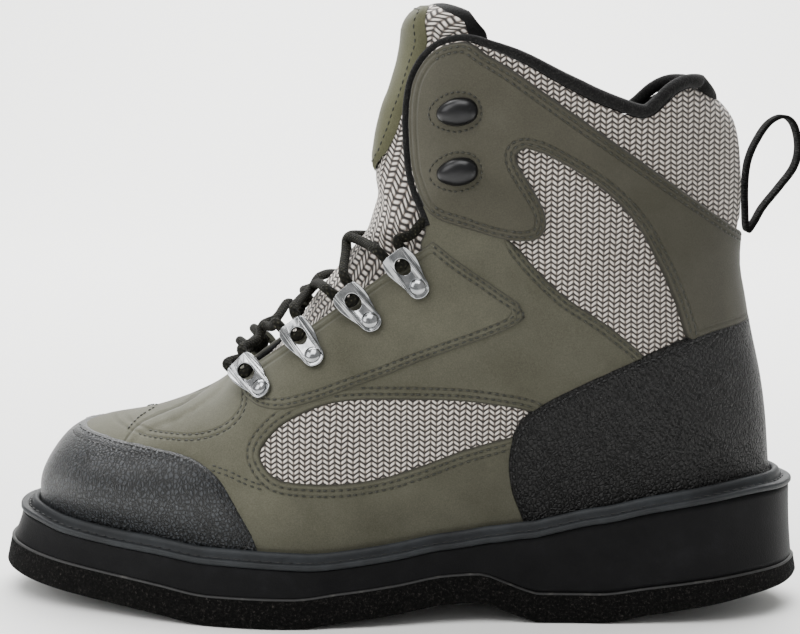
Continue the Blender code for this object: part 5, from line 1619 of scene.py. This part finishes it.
# Lace
# One round braided cord, 4 mm thick, dark olive with pale flecks. It runs from behind one facing
# through the rings, crosses over the tongue three times, lies in a bar at the bottom and goes back up.
LACE_DIAMETER = 0.0040
LACE_OVER = 0.0042
LACE_LIFT = 0.0022
LACE_STEP = 0.0010
LACE_PASSES = 8
LACE_RAY = 0.16
NOSE_AHEAD = 0.0150
BRAID_WIDTH = 0.0011
CROSSING = (0.34, 0.5, 0.66)
CREST_WIDTH = 0.12
# Steps of the lace through a ring: ahead of the rivet, aside and above the foot
THROUGH = [(0.0205, 0.0042, 0.0042), (0.0150, 0.0036, 0.0026), (0.0108, 0.0020, 0.0024),
           (0.0096, 0.0000, 0.0026), (0.0108, -0.0020, 0.0024), (0.0150, -0.0036, 0.0026),
           (0.0205, -0.0042, 0.0042)]
# Shares along and up the boot where the lace leaves the top ring, and how far off the skin it is
TUCK = [(0.513, 0.575, 0.0036), (0.525, 0.604, 0.0010), (0.534, 0.618, -0.0030)]
# Braided polyester: dark olive strands that cross, with pale flecks on some of them
lace_finish, tree, shader = new_finish("braided_lace", Roughness=0.9, Specular_IOR_Level=0.15)
around = add_node(tree, "ShaderNodeUVMap", uv_map="unrolled").outputs["UV"]
split = add_node(tree, "ShaderNodeSeparateXYZ", {"Vector": around})
left = math_node(tree, "ADD", split.outputs["X"], split.outputs["Y"])
right = math_node(tree, "SUBTRACT", split.outputs["Y"], split.outputs["X"])
one = math_node(tree, "PINGPONG", left, BRAID_WIDTH)
two = math_node(tree, "PINGPONG", right, BRAID_WIDTH)
braid = math_node(tree, "MULTIPLY", math_node(tree, "MULTIPLY", one, 1 / BRAID_WIDTH),
                  math_node(tree, "MULTIPLY", two, 1 / BRAID_WIDTH))
fleck = noise_of(tree, around, 520.0, 2.0)
tone = math_node(tree, "MULTIPLY_ADD", fleck, 0.7, math_node(tree, "MULTIPLY", braid, 0.35))
paint(tree, shader, tone, [(0.35, "#0b0b08"), (0.55, "#1a1912"), (0.70, "#2f2e24"), (0.86, "#6d6a55")])
bump_of(tree, shader, braid, 0.0005)


def at_ring(number, side, ahead, rise):
    """Place over a ring, ahead of its rivet and above its foot."""
    seat = seat_of(RINGS[number], side) @ Matrix.Translation((0.0, 0.0, HARDWARE_LIFT))
    return seat @ Vector((ahead, 0.0, rise))


def over_tongue(low, side, high, shares, lift):
    """Places over the tongue on the way from a ring to one across it."""
    start = at_ring(low, side, NOSE_AHEAD, 0.0)
    end = at_ring(high, -side, NOSE_AHEAD, 0.0)
    ahead = (RINGS[-1].hole_along - RINGS[0].hole_along) * FOOT_LENGTH
    rising = (RINGS[-1].hole_up - RINGS[0].hole_up) * UPPER_HEIGHT
    outwards = Vector((-rising, 0.0, ahead)).normalized()
    found = []
    for share in shares:
        chord = start + (end - start) * share
        hit, normal, _, _ = skin_tree.ray_cast(chord + outwards * LACE_RAY, -outwards)
        normal = normal if normal.dot(outwards) > 0 else -normal
        crest = math.exp(-((share - 0.5) / CREST_WIDTH) ** 2)
        found.append(hit + normal * (LACE_OVER + lift * crest))
    return found


def through_ring(number, side, down_first):
    """Places of the lace as it turns under the plate of a ring, seen in its hole."""
    down = -side if down_first else side
    across = Vector(seat_of(RINGS[number], side).col[1][:3])
    return [at_ring(number, side, ahead, rise) + across * (down * aside) for ahead, aside, rise in THROUGH]


def tucked(side):
    """Places from the top ring to where the lace goes in behind the edge of the facing."""
    found = []
    for a, b, rise in TUCK:
        point, normal = skin_over(along(a), up(b), side)
        found.append(point + normal * rise)
    return found


def lace_way():
    """The lace's whole way: down over the tongue, along the bar and back up, each ring used once."""
    side = -1
    route = tucked(side)[::-1]
    for number in (3, 2, 1, 0):
        route += through_ring(number, side, False)
        if number:
            route += over_tongue(number - 1, -side, number, CROSSING, -side * LACE_LIFT)[::-1]
            side = -side
    route += over_tongue(0, side, 0, (0.3, 0.5, 0.7), 0.0)
    side = -side
    for number in (0, 1, 2, 3):
        route += through_ring(number, side, True)
        if number < 3:
            route += over_tongue(number, side, number + 1, CROSSING, -side * LACE_LIFT)
            side = -side
    return route + tucked(side)


lace_points = evenly(flowing([tuple(p) for p in lace_way()], 8), LACE_STEP)
for _ in range(LACE_PASSES):
    softer = [(a + b * 2 + c) / 4 for a, b, c in zip(lace_points, lace_points[1:], lace_points[2:])]
    lace_points = lace_points[:1] + softer + lace_points[-1:]
lace_mesh, lace_centres = tube_along(lace_points, [LACE_DIAMETER / 2] * len(lace_points), 14)
lace_length = sum((b - a).length for a, b in zip(lace_points, lace_points[1:]))
lace_piece = make_piece("lace_dressed", lace_mesh, [lace_finish],
                        ["lace_bar", "lace_crossing_1", "lace_crossing_2", "lace_crossing_3",
                         "lace_end_outer", "lace_end_inner"])
[tuple(Vector(p) + TO_FRAME) for p in lace_centres]

# Pull loop
# Flat black webbing folded into a loop and sewn into the top of the band at the back.
LOOP_WIDTH = 0.0110
LOOP_THICKNESS = 0.0015
LOOP_HEIGHT = 0.0460
LOOP_REACH = 0.0220
LOOP_ROOT = (0.9635, 0.586)
LOOP_ROUND = 0.13
LOOP_PATH = [
    (0.000, 0.000), (-0.045, 0.220), (-0.055, 0.440), (-0.010, 0.620), (0.120, 0.780), (0.340, 0.940),
    (0.600, 1.000), (0.800, 0.930), (0.900, 0.740), (0.830, 0.560), (0.570, 0.380), (0.280, 0.200),
    (0.120, 0.060),
]
# Webbing: matt black, woven in fine ribs
webbing_finish, tree, shader = new_finish("woven_webbing", Roughness=1.0, Specular_IOR_Level=0.08)
around = add_node(tree, "ShaderNodeUVMap", uv_map="unrolled").outputs["UV"]
weave = add_node(tree, "ShaderNodeTexWave", {"Vector": around, "Scale": 300.0}, bands_direction="Y")
ribs = add_node(tree, "ShaderNodeTexWave", {"Vector": around, "Scale": 500.0}, bands_direction="X")
mixed = math_node(tree, "MULTIPLY_ADD", weave.outputs["Fac"], 0.6,
                  math_node(tree, "MULTIPLY", ribs.outputs["Fac"], 0.4))
paint(tree, shader, mixed, [(0.2, "#070707"), (0.6, "#0f0f0e"), (0.95, "#1d1c1b")])
bump_of(tree, shader, mixed, 0.0004)
loop_spots = [(along(LOOP_ROOT[0]) + a * LOOP_REACH, up(LOOP_ROOT[1]) + b * LOOP_HEIGHT)
              for a, b in LOOP_PATH]
loop_line = flowing(loop_spots, 10, closed=True)
loop_profile = [
    (-1.0, 0.55), (-0.96, 1.0), (0.96, 1.0), (1.0, 0.55), (1.0, -0.55), (0.96, -1.0),
    (-0.96, -1.0), (-1.0, -0.55),
]
loop_lines = {s: grown(loop_line, LOOP_THICKNESS / 2 * s) for s in (0.55, 1.0, -0.55, -1.0)}


def loop_at(u, v):
    """Point of the webbing: u goes along the loop and v round its flat section."""
    wide, deep = loop_profile[round(v * len(loop_profile)) % len(loop_profile)]
    x, z = loop_lines[deep][round(u * len(loop_line)) % len(loop_line)]
    return Vector((x, wide * LOOP_WIDTH / 2, z))


loop = mapped(len(loop_line), len(loop_profile), loop_at)
unrolled = loop.loops.layers.uv["unrolled"]
for face in loop.faces:
    for corner in face.loops:
        corner[unrolled].uv = (corner.vert.co.y, corner[unrolled].uv.x * LOOP_ROUND)
make_piece("pull_loop_dressed", loop, [webbing_finish], ["pull_loop"])

# Insole
# A thin dark foam footbed that lies loose inside, seen only from above.
# Foam: matt charcoal with fine cells
insole_finish, tree, shader = new_finish("foam_footbed", Roughness=0.9)
where = place_on(tree)
cells = add_node(tree, "ShaderNodeTexVoronoi", {"Vector": where, "Scale": 700.0})
paint(tree, shader, cells.outputs["Distance"], [(0.1, "#2c2d2f"), (0.7, "#1b1c1d")])
bump_of(tree, shader, cells.outputs["Distance"], 0.0004)
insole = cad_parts["insole"]
insole.data.materials.clear()
insole.data.materials.append(insole_finish)

# Floor and light
# A pale seamless floor, a broad soft light from above and in front, and a softer one on the left.
# Paper: nearly white and matt
floor_finish, tree, shader = new_finish("pale_floor", Roughness=0.9, Specular_IOR_Level=0.2)
shader.inputs["Base Color"].default_value = colour("#f4f4f2")


PAPER_WIDTH = 8.0
PAPER_LENGTH = 7.0
PAPER_NEAR = 2.5
PAPER_FLAT = 1.6
PAPER_RADIUS = 0.8


def paper(u, v):
    """Sheet of paper that lies flat under the boot and bends up far behind it."""
    run = v * PAPER_LENGTH - PAPER_NEAR
    turn = min(max(run - PAPER_FLAT, 0.0) / PAPER_RADIUS, math.pi / 2)
    upright = max(run - PAPER_FLAT - PAPER_RADIUS * math.pi / 2, 0.0)
    return Vector(((u - 0.5) * PAPER_WIDTH, min(run, PAPER_FLAT) + PAPER_RADIUS * math.sin(turn),
                   PAPER_RADIUS * (1 - math.cos(turn)) + upright))


bm = mapped(2, 140, paper)
if sum(f.normal.z for f in bm.faces) < 0:
    bmesh.ops.reverse_faces(bm, faces=bm.faces)
floor_mesh = bpy.data.meshes.new("floor")
bm.to_mesh(floor_mesh)
bm.free()
floor_mesh.polygons.foreach_set("use_smooth", [True] * len(floor_mesh.polygons))
floor_mesh.materials.append(floor_finish)
floor = bpy.data.objects.new("floor", floor_mesh)
bpy.context.scene.collection.objects.link(floor)
LightRow = namedtuple("LightRow", "name place target size power")
LIGHTS = [
    LightRow("top_light", (-0.30, -0.60, 1.30), (0.0, 0.0, 0.08), 0.9, 15.0),
    LightRow("left_light", (-1.20, -0.60, 0.80), (0.0, 0.0, 0.10), 0.8, 9.0),
    LightRow("paper_light", (0.0, 1.30, 1.60), (0.0, 1.60, 0.0), 2.2, 130.0),
]
for row in LIGHTS:
    lamp = bpy.data.lights.new(row.name, "AREA")
    lamp.size = row.size
    lamp.energy = row.power
    shown = bpy.data.objects.new(row.name, lamp)
    bpy.context.scene.collection.objects.link(shown)
    shown.location = row.place
    shown.rotation_euler = (Vector(row.target) - Vector(row.place)).to_track_quat("-Z", "Y").to_euler()
world = bpy.data.worlds.new("studio")
world.use_nodes = True
world.node_tree.nodes["Background"].inputs["Color"].default_value = colour("#fbfbfa")
world.node_tree.nodes["Background"].inputs["Strength"].default_value = 0.55
bpy.context.scene.world = world
